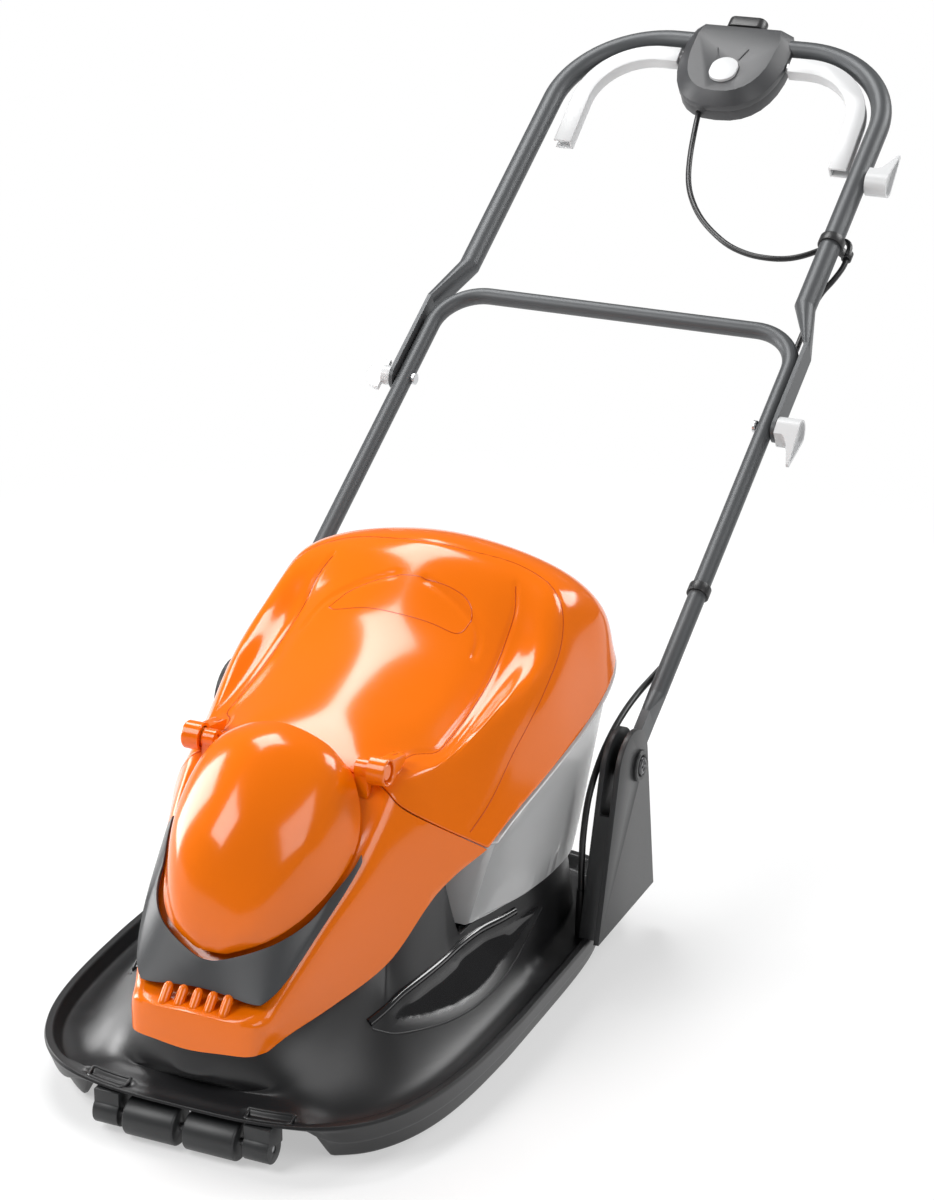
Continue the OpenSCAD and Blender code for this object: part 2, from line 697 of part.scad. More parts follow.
// Grass box, hung by its rim under the lid's edge
box_front_share = 0.82;
box_rear_share = 0.92;
box_floor_share = 0.72;
box_front_y = 38;
flange_t = 2.4;
rim_gap = 3;
flange_in_share = 0.03;
lid_edge = concat(
    [for (i = [0 : len(lid_grid) - 2]) lid_grid[i][0]],
    lid_grid[len(lid_grid) - 1],
    [for (i = [len(lid_grid) - 2 : -1 : 0]) lid_grid[i][len(lid_grid[0]) - 1]]
);
function rim_at(inset_share, drop) = [for (p = lid_edge)
    [p.x * (1 - inset_share), blend(box_front_y, cover_len, (p.y - lid_edge[0].y) / (cover_len - lid_edge[0].y)
        * (1 - inset_share) + inset_share / 3), p.z - drop]];
function floor_at(inset, z) = [for (p = lid_edge)
    let (along = (p.y - lid_edge[0].y) / (cover_len - lid_edge[0].y))
    let (w = abs(p.x) * blend(box_front_share, box_rear_share, smooth(along * 2)))
    [sign(p.x) * max(0, w - inset), box_front_y + inset + (p.y - lid_edge[0].y) * box_floor_share
        - 2 * inset * along, z]];

module grass_box() {
    color(smoke, half_share) tub_loft([
        floor_at(0, box_z),
        rim_at(flange_in_share, rim_gap + flange_t * 2),
        rim_at(0, rim_gap + flange_t),
        rim_at(0, rim_gap),
        rim_at(flange_in_share + box_wall / cover_half_w, rim_gap),
        floor_at(box_wall, box_z + box_wall)
    ]);
}

// Handle frame: along the handle is +Y, above it is +Z
module on_handle() {
    translate([0, pivot_y, pivot_z]) rotate([handle_angle, 0, 0]) children();
}
function handle_point(p) = [p.x, pivot_y + p.y * cos(handle_angle) - p.z * sin(handle_angle),
    pivot_z + p.y * sin(handle_angle) + p.z * cos(handle_angle)];

inner_ear_x = lower_half_w - ear_gap / 2 - ear_t;
outer_ear_x = lower_half_w + ear_gap / 2;
bracket_top_y = pivot_y - bracket_ahead;
bracket_top_z = pivot_z + bracket_rise;
bracket_arc = [8, 172];

module bracket_side(foot) {
    polygon(concat(
        [[bracket_front_y, foot], [bracket_rear_y, foot]],
        moved(arc(bracket_top_r, bracket_arc[0], bracket_arc[1], 16), [bracket_top_y, bracket_top_z])
    ));
}
module x_wall(from, thick) {
    translate([from, 0, 0]) rotate([90, 0, 90]) linear_extrude(height = thick) children();
}
// The wall that closes the bracket's front below the tube
module bracket_front(foot) {
    top = [bracket_top_y, bracket_top_z] + bracket_top_r * [cos(bracket_arc[1]), sin(bracket_arc[1])];
    low = [bracket_front_y, foot];
    high = blend(low, top, bracket_wall_share);
    polygon([low, low + [bracket_web, 0], high + [bracket_web, 0], high]);
}
module handle_bracket() {
    foot = lip_z + rest_gap;
    color(grey) difference() {
        union() {
            x_wall(outer_ear_x, ear_t) bracket_side(bracket_foot_z);
            x_wall(inner_ear_x, ear_t) bracket_side(foot);
            x_wall(inner_ear_x + ear_t - lap, ear_gap + 2 * lap) intersection() {
                bracket_side(foot);
                union() {
                    bracket_front(foot);
                    translate([bracket_front_y - cut, foot])
                        square([bracket_rear_y - bracket_front_y + 2 * cut, bracket_web]);
                    for (k = [1, 2]) translate([bracket_front_y, foot + k * bracket_top_r])
                        square([bracket_rear_y - bracket_front_y, bracket_web]);
                    translate([bracket_rear_y - bracket_top_r, foot])
                        square([bracket_web, 2 * bracket_top_r]);
                }
            }
        }
        translate([0, pivot_y, pivot_z]) rotate([0, 90, 0])
            cylinder(r = pivot_r + run_fit, h = 2 * deck_half_w);
        translate([outer_ear_x + ear_t - bolt_head_t / 2, pivot_y, pivot_z]) rotate([0, 90, 0])
            cylinder(r = bolt_head_r + side_gap, h = ear_t);
    }
}
module handle_bracket_right() {
    handle_bracket();
}
module handle_bracket_left() {
    mirror([1, 0, 0]) handle_bracket();
}
module pivot_bolts() {
    shank = outer_ear_x + ear_t - bolt_head_t / 2 - inner_ear_x + nut_t + bolt_past;
    color(steel) for (side = [0, 1]) mirror([side, 0, 0])
        translate([outer_ear_x + ear_t - bolt_head_t / 2, pivot_y, pivot_z]) rotate([0, 90, 0]) union() {
            translate([0, 0, -shank]) cylinder(r = pivot_r, h = shank + lap);
            cylinder(r = bolt_head_r, h = bolt_head_t);
        }
}
module pivot_nuts() {
    color(steel) for (side = [0, 1]) mirror([side, 0, 0])
        translate([inner_ear_x - nut_t - 2 * seat_gap, pivot_y, pivot_z]) rotate([0, 90, 0]) difference() {
            cylinder(r = nut_r, h = nut_t, $fn = 6);
            translate([0, 0, -cut]) cylinder(r = pivot_r + run_fit, h = nut_t + 2 * cut);
        }
}

// Tubes
module u_bend(half_w, end, r, bend) {
    for (side = [0, 1]) mirror([side, 0, 0]) translate([half_w - bend, end - bend, 0])
        rotate_extrude(angle = 90) translate([bend, 0]) circle(r = r);
    translate([-(half_w - bend), end, 0]) rotate([0, 90, 0]) cylinder(r = r, h = 2 * (half_w - bend));
}
module leg(x, from, to, r) {
    translate([x, from, 0]) rotate([-90, 0, 0]) cylinder(r = r, h = to - from);
}
// The hollow of a bent tube, from one leg's foot round to the other
module tube_inside(half_w, from, end, r, bend) {
    union() {
        u_bend(half_w, end, r, bend);
        for (x = [-half_w, half_w]) leg(x, from, end - bend, r);
    }
}
module flat_end(x, thick, width, from, to) {
    translate([x - thick / 2, 0, 0]) rotate([90, 0, 90]) linear_extrude(height = thick) union() {
        translate([from, 0]) circle(r = width / 2);
        translate([from, -width / 2]) square([to - from, width]);
    }
}
module tube_taper(x_flat, thick, width, from, x_round, r, to) {
    hull() {
        translate([x_flat - thick / 2 + run_fit, from, run_fit - width / 2])
            cube([thick - 2 * run_fit, lap, width - 2 * run_fit]);
        translate([x_round, to - lap, 0]) rotate([-90, 0, 0]) cylinder(r = r - run_fit, h = lap, $fn = 32);
    }
}
module x_bore(y, r) {
    translate([0, y, 0]) rotate([0, 90, 0]) translate([0, 0, -2 * deck_half_w])
        cylinder(r = r, h = 4 * deck_half_w);
}

module lower_handle() {
    r = lower_d / 2;
    color(tube_grey) on_handle() difference() {
        union() {
            u_bend(lower_half_w, lower_len, r, lower_bend);
            for (x = [-lower_half_w, lower_half_w]) {
                leg(x, flat_len + taper_len, lower_len - lower_bend, r);
                tube_taper(x, flat_t, flat_w, flat_len, x, r, flat_len + taper_len);
                flat_end(x, flat_t, flat_w, 0, flat_len);
            }
        }
        tube_inside(lower_half_w, flat_len + taper_len, lower_len, r - tube_wall, lower_bend);
        x_bore(0, pivot_r + run_fit);
        x_bore(joint_len, joint_bolt_r + run_fit);
    }
}

joint_x = lower_half_w + lower_d / 2 + side_gap + joint_t / 2;
module upper_handle() {
    r = upper_d / 2;
    color(tube_grey) on_handle() difference() {
        union() {
            u_bend(upper_half_w, upper_len, r, upper_bend);
            for (side = [0, 1]) mirror([side, 0, 0]) {
                leg(upper_half_w, joint_taper_top, upper_len - upper_bend, r);
                tube_taper(joint_x, joint_t, joint_w, joint_flat_top, upper_half_w, r, joint_taper_top);
                flat_end(joint_x, joint_t, joint_w, joint_len, joint_flat_top);
            }
            translate([upper_half_w, hook_len, 0]) rotate([0, 90, 0])
                cylinder(r = hook_pin_r, h = r + side_gap + knob_len * stud_share);
        }
        tube_inside(upper_half_w, joint_taper_top, upper_len, r - tube_wall, upper_bend);
        x_bore(joint_len, joint_bolt_r + run_fit);
        for (x = [-upper_half_w, upper_half_w]) translate([x, joint_taper_top + upper_d, -upper_d])
            cylinder(r = drain_r, h = upper_d);
    }
}

joint_out_x = joint_x + joint_t / 2;
module joint_bolts() {
    head = joint_bolt_r * bolt_head_share;
    under = lower_half_w - lower_d / 2 - head;
    color(steel) on_handle() for (side = [0, 1]) mirror([side, 0, 0])
        translate([under, joint_len, 0]) rotate([0, 90, 0]) union() {
            cylinder(r = 2 * joint_bolt_r, h = head - 2 * seat_gap);
            cylinder(r = joint_bolt_r, h = joint_out_x + plain_knob_r * stud_share - under);
        }
}

// A barrel along +Z whose outer end runs out into a pointed, dished wing along +Y
function drop_outline(r, tip_r, len) =
    let (lean = asin((r - tip_r) / len))
    concat(arc(r, 180 - lean, 360 + lean, 24), moved(arc(tip_r, lean, 180 - lean, 8), [0, len]));
module winged(bore) {
    reach = wing_len + wing_tip_r;
    root = knob_len * wing_root_share;
    difference() {
        linear_extrude(height = knob_len) polygon(drop_outline(knob_r, wing_tip_r, wing_len));
        rotate([90, 0, 90]) translate([0, 0, -2 * knob_r]) linear_extrude(height = 4 * knob_r) polygon(concat(
            [for (i = [0 : wing_steps]) let (t = i / wing_steps)
                [blend(knob_r, reach + cut, t * t), blend(root, knob_len - wing_lip, t)]],
            [[reach + cut, -cut], [knob_r, -cut]]
        ));
        translate([0, 0, knob_len - dish_depth]) linear_extrude(height = dish_depth + cut)
            polygon(drop_outline(knob_r - dish_wall, wing_tip_r / 2, wing_len - 2 * dish_wall));
        translate([0, 0, -cut]) cylinder(r = bore, h = knob_len * stud_share + side_gap + cut);
    }
}
// A short barrel with a half-round plate across it
module plain_winged(bore) {
    difference() {
        union() {
            cylinder(r = plain_knob_r, h = plain_knob_r);
            translate([-plain_wing_t / 2, 0, plain_knob_r - lap]) rotate([90, 0, 90])
                linear_extrude(height = plain_wing_t) intersection() {
                    circle(r = plain_wing_r);
                    translate([-plain_wing_r, 0]) square([2 * plain_wing_r, plain_wing_r]);
                }
        }
        translate([0, 0, -cut]) cylinder(r = bore, h = plain_knob_r * stud_share + side_gap + cut);
    }
}
module at_joint() {
    translate([joint_out_x + side_gap, joint_len, 0]) rotate([0, 90, 0]) children();
}
module knob_right() {
    color(pale) on_handle() at_joint() rotate([0, 0, 180]) winged(joint_bolt_r + run_fit);
}
module knob_left() {
    color(pale) on_handle() mirror([1, 0, 0]) at_joint() plain_winged(joint_bolt_r + run_fit);
}
module cable_hook() {
    color(pale) on_handle() translate([upper_half_w + upper_d / 2 + side_gap, hook_len, 0]) rotate([0, 90, 0])
        winged(hook_pin_r + run_fit);
}

// Switch box, its shells split at the cross bar's middle
switch_end = upper_len + bar_cover;
lever_y = upper_len - lever_back;
button_y = upper_len - button_back;
screw_places = [for (k = [-1, 1]) each [
    [k * switch_half_w * screw_rear_share, lever_y - screw_from_lever],
    [k * switch_half_w * screw_front_share, upper_len - switch_len + screw_from_front]
]];
function switch_outline(inset, rear_inset) =
    let (w = switch_half_w - inset, l = switch_len - bar_cover - inset, rear = switch_end - rear_inset)
    concat(
        [[w * switch_rear_share, rear], [w, rear - bar_cover], [w, upper_len - bar_cover]],
        [for (i = [1 : bow_steps - 1]) let (a = i * 180 / bow_steps)
            [w * sign(cos(a)) * pow(abs(cos(a)), 2 / switch_power),
             upper_len - bar_cover - l * pow(sin(a), 2 / switch_power)]],
        [[-w, upper_len - bar_cover], [-w, rear - bar_cover], [-w * switch_rear_share, rear]]
    );
module switch_bars() {
    for (bar = [[upper_len, upper_d / 2], [lever_y, lever_shaft_r]])
        translate([-2 * switch_half_w, bar[0], 0]) rotate([0, 90, 0])
            cylinder(r = bar[1] + run_fit, h = 4 * switch_half_w);
}
module oval(w, l) {
    translate([0, (l - w) / 2]) circle(r = w / 2);
    translate([0, -(l - w) / 2]) circle(r = w / 2);
    translate([-w / 2, -(l - w) / 2]) square([w, l - w]);
}
module switch_cavity(h, inset) {
    translate([0, 0, -cut]) linear_extrude(height = h + cut) intersection() {
        polygon(switch_outline(inset, 0));
        difference() {
            translate([-switch_half_w, 0]) square([2 * switch_half_w, lever_y - lever_shaft_r - shell_wall]);
            for (s = screw_places) translate(s) circle(r = screw_boss_r);
        }
    }
}
module switch_box_upper() {
    color(grey) on_handle() difference() {
        hull() {
            translate([0, 0, rest_gap / 2]) linear_extrude(height = switch_band)
                polygon(switch_outline(0, 0));
            translate([0, 0, switch_top - lap]) linear_extrude(height = lap)
                polygon(switch_outline(switch_slope, shell_wall));
        }
        switch_bars();
        switch_cavity(switch_band - shell_wall / 2, shell_wall);
        switch_cavity(switch_top - shell_wall, switch_slope + shell_wall);
        translate([0, button_y, 0]) linear_extrude(height = switch_top + cut)
            oval(button_w + 2 * rest_gap, button_len + 2 * rest_gap);
        for (s = screw_places) translate([s.x, s.y, -cut])
            cylinder(r = screw_r + run_fit, h = screw_grip + cut);
    }
}
module switch_box_lower() {
    color(grey) on_handle() difference() {
        translate([0, 0, -switch_bottom]) linear_extrude(height = switch_bottom - rest_gap / 2)
            polygon(switch_outline(lower_in, lower_in));
        switch_bars();
        mirror([0, 0, 1]) switch_cavity(switch_bottom - shell_wall, shell_wall);
        for (s = screw_places) translate([s.x, s.y, -switch_bottom - cut]) {
            cylinder(r = screw_r + run_fit, h = 2 * switch_bottom);
            cylinder(r = screw_head_r + rest_gap, h = screw_seat + cut);
        }
        translate(lead_loop[0]) rotate([90, 0, 0])
            cylinder(r = lead_d / 2 + rest_gap, h = 2 * switch_bottom, center = true);
    }
}
module switch_screws() {
    color(steel) on_handle() for (s = screw_places) translate([s.x, s.y, -switch_bottom + screw_seat]) union() {
        translate([0, 0, -lap])
            cylinder(r = screw_r, h = switch_bottom - screw_seat + screw_grip * screw_fill_share + lap);
        translate([0, 0, -screw_head_t]) cylinder(r = screw_head_r, h = screw_head_t);
    }
}

// Lever bow: a channel bent round both corners, open toward the tube
module lever_section() {
    difference() {
        translate([-lever_w / 2, -lever_t / 2]) square([lever_w, lever_t]);
        translate([-lever_w / 2 + lever_wall, -lever_t / 2 + lever_wall])
            square([lever_w, lever_t - 2 * lever_wall]);
    }
}
module lever_arm() {
    start = switch_half_w + lever_gap;
    corner = lever_half_w - lever_bend;
    translate([start, 0, 0]) rotate([90, 0, 90])
        linear_extrude(height = corner - start + lap) lever_section();
    translate([corner, -lever_bend, 0]) rotate_extrude(angle = 90) translate([lever_bend, 0]) lever_section();
    translate([lever_half_w, -lever_bend + lap, 0]) rotate([90, 0, 0])
        linear_extrude(height = lever_tip_back - lever_bend + lap - lever_back) lever_section();
    translate([start, 0, 0]) rotate([90, 0, 90]) linear_extrude(height = shell_wall)
        square([lever_w, lever_t], center = true);
}
module switch_lever() {
    reach = switch_half_w + lever_gap + shell_wall / 2;
    color(pale) on_handle() translate([0, lever_y, 0]) rotate([lever_rest_angle, 0, 0]) union() {
        for (side = [0, 1]) mirror([side, 0, 0]) lever_arm();
        translate([-reach, 0, 0]) rotate([0, 90, 0]) cylinder(r = lever_shaft_r, h = 2 * reach);
    }
}
module lever_spring() {
    color(steel) on_handle() translate([switch_half_w + spring_gap, lever_y, 0]) rotate([0, 90, 0])
        ring(lever_shaft_r + spring_wall, lever_shaft_r + 2 * run_fit, spring_t);
}
skirt_z = switch_top - shell_wall - rest_gap - button_flange_t;
module lock_button() {
    color(pale) on_handle() translate([0, button_y, skirt_z]) union() {
        linear_extrude(height = switch_top - skirt_z + button_travel) oval(button_w, button_len);
        linear_extrude(height = button_flange_t)
            oval(button_w + 2 * button_flange, button_len + 2 * button_flange);
    }
}
module button_spring() {
    color(steel) on_handle() translate([0, button_y, works_top])
        ring(coil_r, coil_r - spring_t, skirt_z - works_top - rest_gap);
}
module microswitch() {
    floor_z = -switch_bottom + shell_wall + 2 * seat_gap;
    color(black) on_handle() translate([-works_w / 2, button_y - works_len / 2, floor_z])
        cube([works_w, works_len, works_top - rest_gap - floor_z]);
}
module cable_inlet() {
    color(black) on_handle() translate([0, switch_end + 4 * seat_gap, switch_top / 2]) rotate([-90, 0, 0])
        difference() {
            linear_extrude(height = inlet_len) rotate([0, 0, 90]) oval(inlet_t, inlet_w);
            translate([0, 0, -cut]) cylinder(r = inlet_bore_r, h = inlet_len + 2 * cut);
        }
}

// Drive: plate, spindle and motor
housing_top = plate_z + plate_t;
housing_depth = 2 * bearing_w + bearing_space;
lower_bearing_z = housing_top - housing_depth + housing_lip;
upper_bearing_z = housing_top - bearing_w + bearing_proud;
pulley_z = housing_top + pulley_lift;
belt_z = pulley_z + (pulley_h - belt_w) / 2;
motor_z = housing_top + bracket_lift + bracket_plate_t;
impeller_top = lower_bearing_z - fan_gap;
impeller_bottom = blade_z + blade_t + spacer_count * spacer_t;
stator_r = motor_r - casing_wall - 2 * seat_gap;
plate_screw_places = [for (t = plate_screw_turns)
    let (p = deck_point(t, top_r(t) - (plate_in + ledge_in) / 2, 0)) [p.x, p.y]];
function plate_outline(inset) = [for (j = [0 : deck_steps - 1])
    let (turn = deck_turn(j), p = deck_point(turn, top_r(turn) - inset, 0)) [p.x, p.y]];
module ring(r, bore, h) {
    difference() {
        cylinder(r = r, h = h);
        translate([0, 0, -cut]) cylinder(r = bore, h = h + 2 * cut);
    }
}
module motor_plate() {
    through = plate_t + 2 * cut;
    color(black) difference() {
        translate([0, 0, plate_z]) linear_extrude(height = plate_t) polygon(plate_outline(plate_in));
        translate([0, 0, plate_z - cut]) cylinder(r = housing_r + 2 * run_fit, h = through);
        translate([0, -motor_ahead, plate_z - cut]) cylinder(r = 2 * motor_shaft_r, h = through);
        for (s = plate_screw_places) translate([s.x, s.y, plate_z - cut])
            cylinder(r = plate_screw_r + run_fit, h = through);
    }
}
module plate_screws() {
    color(steel) for (s = plate_screw_places) translate([s.x, s.y, housing_top + seat_gap]) union() {
        cylinder(r = plate_screw_head_r, h = plate_screw_head_t);
        translate([0, 0, plate_screw_short - plate_t]) cylinder(r = plate_screw_r, h = plate_t);
    }
}
module bearing_housing() {
    color(steel) difference() {
        union() {
            translate([0, 0, housing_top - housing_depth]) cylinder(r = housing_r, h = housing_depth + lap);
            translate([0, 0, housing_top + seat_gap])
                cylinder(r = housing_r + housing_flange, h = housing_flange_t);
        }
        translate([0, 0, housing_top - housing_depth - cut])
            cylinder(r = bearing_r + run_fit, h = housing_depth + housing_flange_t + 3 * cut);
    }
}
module spindle_bearings() {
    color(steel) for (z = [lower_bearing_z, upper_bearing_z]) translate([0, 0, z])
        ring(bearing_r, spindle_r + run_fit, bearing_w);
}
module spindle() {
    color(steel) union() {
        translate([0, 0, blade_z]) cylinder(r = spindle_r, h = pulley_z + pulley_h + shaft_past - blade_z);
        translate([0, 0, impeller_top])
            cylinder(r = spindle_r + shoulder, h = lower_bearing_z - impeller_top - 2 * seat_gap);
    }
}
module pulley(r, bore) {
    difference() {
        union() {
            cylinder(r = r - belt_t / 2 - rest_gap, h = pulley_h);
            for (z = [0, pulley_h - pulley_flange_t]) translate([0, 0, z])
                cylinder(r = r + pulley_flange, h = pulley_flange_t);
        }
        translate([0, 0, -cut]) cylinder(r = bore, h = pulley_h + 2 * cut);
    }
}
module spindle_pulley() {
    color(steel) translate([0, 0, pulley_z]) pulley(large_pulley_r, spindle_r + run_fit);
}
module motor_pulley() {
    color(steel) translate([0, -motor_ahead, pulley_z]) pulley(small_pulley_r, motor_shaft_r + run_fit);
}
function belt_line(offset) =
    let (lean = asin((large_pulley_r - small_pulley_r) / motor_ahead))
    concat(
        arc(large_pulley_r + offset, -lean, 180 + lean, 32),
        moved(arc(small_pulley_r + offset, 180 + lean, 360 - lean, 24), [0, -motor_ahead])
    );
module drive_belt() {
    color(black) translate([0, 0, belt_z]) linear_extrude(height = belt_w) difference() {
        polygon(belt_line(belt_t / 2));
        polygon(belt_line(-belt_t / 2));
    }
}
module impeller() {
    h = impeller_top - impeller_bottom;
    color(black) translate([0, 0, impeller_bottom]) difference() {
        union() {
            cylinder(r = hub_r, h = h);
            translate([0, 0, h - vane_t]) cylinder(r = impeller_r, h = vane_t);
            for (k = [0 : vane_count - 1]) rotate([0, 0, k * 360 / vane_count])
                translate([hub_r - cut, -vane_t / 2, h * vane_from_share])
                    cube([impeller_r - hub_r - vane_short, vane_t, h * (1 - vane_from_share) - vane_t / 2]);
        }
        translate([0, 0, -cut]) cylinder(r = spindle_r + run_fit, h = h + 2 * cut);
    }
}
module blade_spacers() {
    color(black) for (k = [0 : spacer_count - 1]) translate([0, 0, blade_z + blade_t + k * spacer_t + seat_gap])
        ring(spacer_r, spindle_r + run_fit, spacer_t - 2 * seat_gap);
}
module blade() {
    half = blade_len / 2;
    wide = half * blade_wide_share;
    tip = blade_w * blade_tip_share / 2;
    side = [[-half, -tip], [-wide, -blade_w / 2], [wide, -blade_w / 2], [half, blade_skew - tip]];
    color(steel) translate([0, 0, blade_z]) linear_extrude(height = blade_t) difference() {
        polygon(concat(side, [for (p = side) -p]));
        circle(r = spindle_r + run_fit);
    }
}
module blade_bolt() {
    color(steel) translate([0, 0, blade_z - seat_gap]) mirror([0, 0, 1]) union() {
        cylinder(r = spacer_r * washer_share, h = washer_t);
        cylinder(r = spindle_r * hex_share, h = hex_h, $fn = 6);
    }
}

module at_motor() {
    translate([0, -motor_ahead, 0]) children();
}
module motor_bracket() {
    color(steel) at_motor() difference() {
        union() {
            translate([0, 0, motor_z - bracket_plate_t])
                cylinder(r = pillar_at + pillar_r + bracket_edge, h = bracket_plate_t);
            for (t = pillar_turns) rotate([0, 0, t]) translate([pillar_at, 0, housing_top + seat_gap])
                cylinder(r = pillar_r, h = bracket_lift + lap);
            translate([0, 0, motor_z - lap])
                cylinder(r = motor_bearing_r + cup_wall, h = motor_bearing_w + lap);
        }
        translate([0, 0, motor_z]) cylinder(r = motor_bearing_r + run_fit, h = motor_bearing_w + cut);
        translate([0, 0, motor_z - bracket_plate_t - cut])
            cylinder(r = motor_shaft_r + shaft_clear, h = 2 * bracket_plate_t + 2 * cut);
    }
}
module motor_casing() {
    color(steel) at_motor() translate([0, 0, motor_z + seat_gap]) difference() {
        union() {
            cylinder(r = motor_r, h = motor_h);
            translate([0, 0, motor_h - lap])
                cylinder(r = motor_bearing_r + cup_wall, h = motor_bearing_w + lap);
        }
        translate([0, 0, -cut]) cylinder(r = motor_r - casing_wall, h = motor_h - casing_wall + cut);
        translate([0, 0, motor_h - casing_wall - cut])
            cylinder(r = motor_bearing_r + run_fit, h = motor_bearing_w + casing_wall);
        for (k = [0 : vent_count - 1]) rotate([0, 0, k * 360 / vent_count])
            translate([motor_r - casing_wall - cut, -vent_w / 2, vent_z])
                cube([casing_wall + 2 * cut, vent_w, vent_h]);
    }
}
module stator() {
    color(copper) at_motor() translate([0, 0, motor_z + stack_from])
        ring(stator_r, armature_r + air_gap, stack_h);
}
module armature() {
    color(copper) at_motor() translate([0, 0, motor_z + stack_from]) difference() {
        union() {
            cylinder(r = armature_r, h = stack_h);
            translate([0, 0, -commutator_h]) cylinder(r = commutator_r, h = commutator_h + lap);
        }
        translate([0, 0, -commutator_h - cut])
            cylinder(r = motor_shaft_r + run_fit, h = stack_h + commutator_h + 2 * cut);
    }
}
module motor_bearings() {
    color(steel) at_motor() {
        translate([0, 0, motor_z + seat_gap])
            ring(motor_bearing_r, motor_shaft_r + run_fit, motor_bearing_w - bearing_play);
        translate([0, 0, motor_z + motor_h - casing_wall + bearing_play])
            ring(motor_bearing_r, motor_shaft_r + run_fit, motor_bearing_w);
    }
}
module motor_shaft() {
    foot = pulley_z - shaft_past / 2;
    color(steel) at_motor() translate([0, 0, foot])
        cylinder(r = motor_shaft_r, h = motor_z + motor_h + shaft_past - foot);
}

// Front rollers
roller_z = roller_r + 2 * rest_gap;
block_top = block_top_share * lip_z;
module at_roller() {
    translate([0, roller_y, roller_z]) rotate([0, 90, 0]) children();
}
module roller() {
    face = roller_r - roller_chamfer;
    at_roller() translate([0, 0, roller_gap / 2]) difference() {
        rotate_extrude() polygon([
            [0, 0], [face, 0], [roller_r, roller_chamfer],
            [roller_r, roller_len - roller_chamfer], [face, roller_len], [0, roller_len]
        ]);
        translate([0, 0, -cut]) cylinder(r = axle_r + run_fit, h = roller_len + 2 * cut);
    }
}
module roller_right() {
    color(black) roller();
}
module roller_left() {
    color(black) mirror([1, 0, 0]) roller();
}
module roller_axle() {
    half = block_to - axle_short;
    color(steel) at_roller() translate([0, 0, -half]) cylinder(r = axle_r, h = 2 * half);
}
module roller_blocks() {
    color(black) for (side = [0, 1]) mirror([side, 0, 0]) difference() {
        x_wall(block_from, block_to - block_from) union() {
            translate([roller_y, roller_z]) circle(r = roller_r * block_r_share);
            translate([roller_y - roller_r * block_front_share, roller_z])
                square([roller_r * block_deep_share, block_top - roller_z]);
        }
        at_roller() cylinder(r = axle_r + run_fit, h = block_to + cut);
    }
}

// Lead, its gland and its clips
gland_x = deck_half_w - gland_in;
module cable_gland() {
    grip = lead_d / 2 + rest_gap / 2;
    seat = gland_h * gland_seat_share;
    color(black) translate([gland_x, gland_y, channel_share * lip_z + 2 * rest_gap]) rotate_extrude()
        polygon([
        [0, 0], [gland_r, 0], [gland_r, seat], [gland_r - gland_taper, gland_h],
        [grip, gland_h], [grip, seat], [0, seat]
    ]);
}
// A clip round a tube with a second ring that holds the lead
module cable_clip(x, along, r, hold) {
    reach = norm(hold);
    on_handle() translate([x, along, 0]) rotate([90, 0, 0])
        linear_extrude(height = clip_len, center = true) difference() {
            union() {
                circle(r = r + clip_t);
                translate(hold) circle(r = lead_d / 2 + clip_t);
                rotate(atan2(hold.y, hold.x)) translate([0, -clip_t]) square([reach, 2 * clip_t]);
            }
            circle(r = r + run_fit);
            translate(hold) circle(r = lead_d / 2 + rest_gap);
        }
}
function held_at(route, i, x) = [route[i].x - x, route[i].z];
module cable_clip_upper() {
    hold = held_at(lead_loop, clip_upper_point, upper_half_w);
    color(black) cable_clip(upper_half_w, clip_upper_len, upper_d / 2, hold);
}
module cable_clip_lower() {
    hold = held_at(lead_run, clip_lower_point, lower_half_w);
    color(black) cable_clip(lower_half_w, clip_lower_len, lower_d / 2, hold);
}
module lead(route, up) {
    color(black) swept(route, lead_d / 2, lead_sides, up);
}
above_handle = handle_point([0, 0, 1]) - handle_point([0, 0, 0]);
function on_route(points, steps) = [for (p = curve(points, steps)) handle_point(p)];
module lead_upper() {
    lead(on_route(lead_loop, 2), above_handle);
}
module lead_middle() {
    lead(on_route(lead_joint, 1), above_handle);
}
module lead_lower() {
    lead(on_route(lead_run, 1), above_handle);
}
module lead_base() {
    start = concat([lead_run[len(lead_run) - 1]], lead_sag);
    lead(curve(concat([for (p = start) handle_point(p)], lead_drop), 2), [1, 0, 0]);
}

deck();
hood();
pod_cover();
cover_trim();
grass_box();
grass_box_lid();
lid_hinge_pins();
handle_bracket_left();
handle_bracket_right();
pivot_bolts();
pivot_nuts();
lower_handle();
upper_handle();
joint_bolts();
knob_left();
knob_right();
cable_hook();
switch_box_upper();
switch_box_lower();
switch_lever();
lever_spring();
lock_button();
button_spring();
microswitch();
cable_inlet();
switch_screws();
motor_plate();
motor_bracket();
motor_casing();
stator();
motor_bearings();
motor_shaft();
armature();
motor_pulley();
drive_belt();
bearing_housing();
spindle_bearings();
spindle();
spindle_pulley();
impeller();
blade_spacers();
blade();
blade_bolt();
roller_axle();
roller_blocks();
roller_left();
roller_right();
cable_gland();
cable_clip_upper();
cable_clip_lower();
lead_upper();
lead_middle();
lead_lower();
lead_base();
plate_screws();
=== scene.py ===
"""Dresses the hover mower: its finishes, smoothed shells, small details, studio and camera."""
import json
import logging
import math
from contextlib import contextmanager
from dataclasses import dataclass
from enum import Enum
from typing import Iterable, Iterator, Mapping, Optional, Sequence, Union

import bmesh
import bpy
import numpy as np
from mathutils import Matrix, Vector
from mathutils.bvhtree import BVHTree


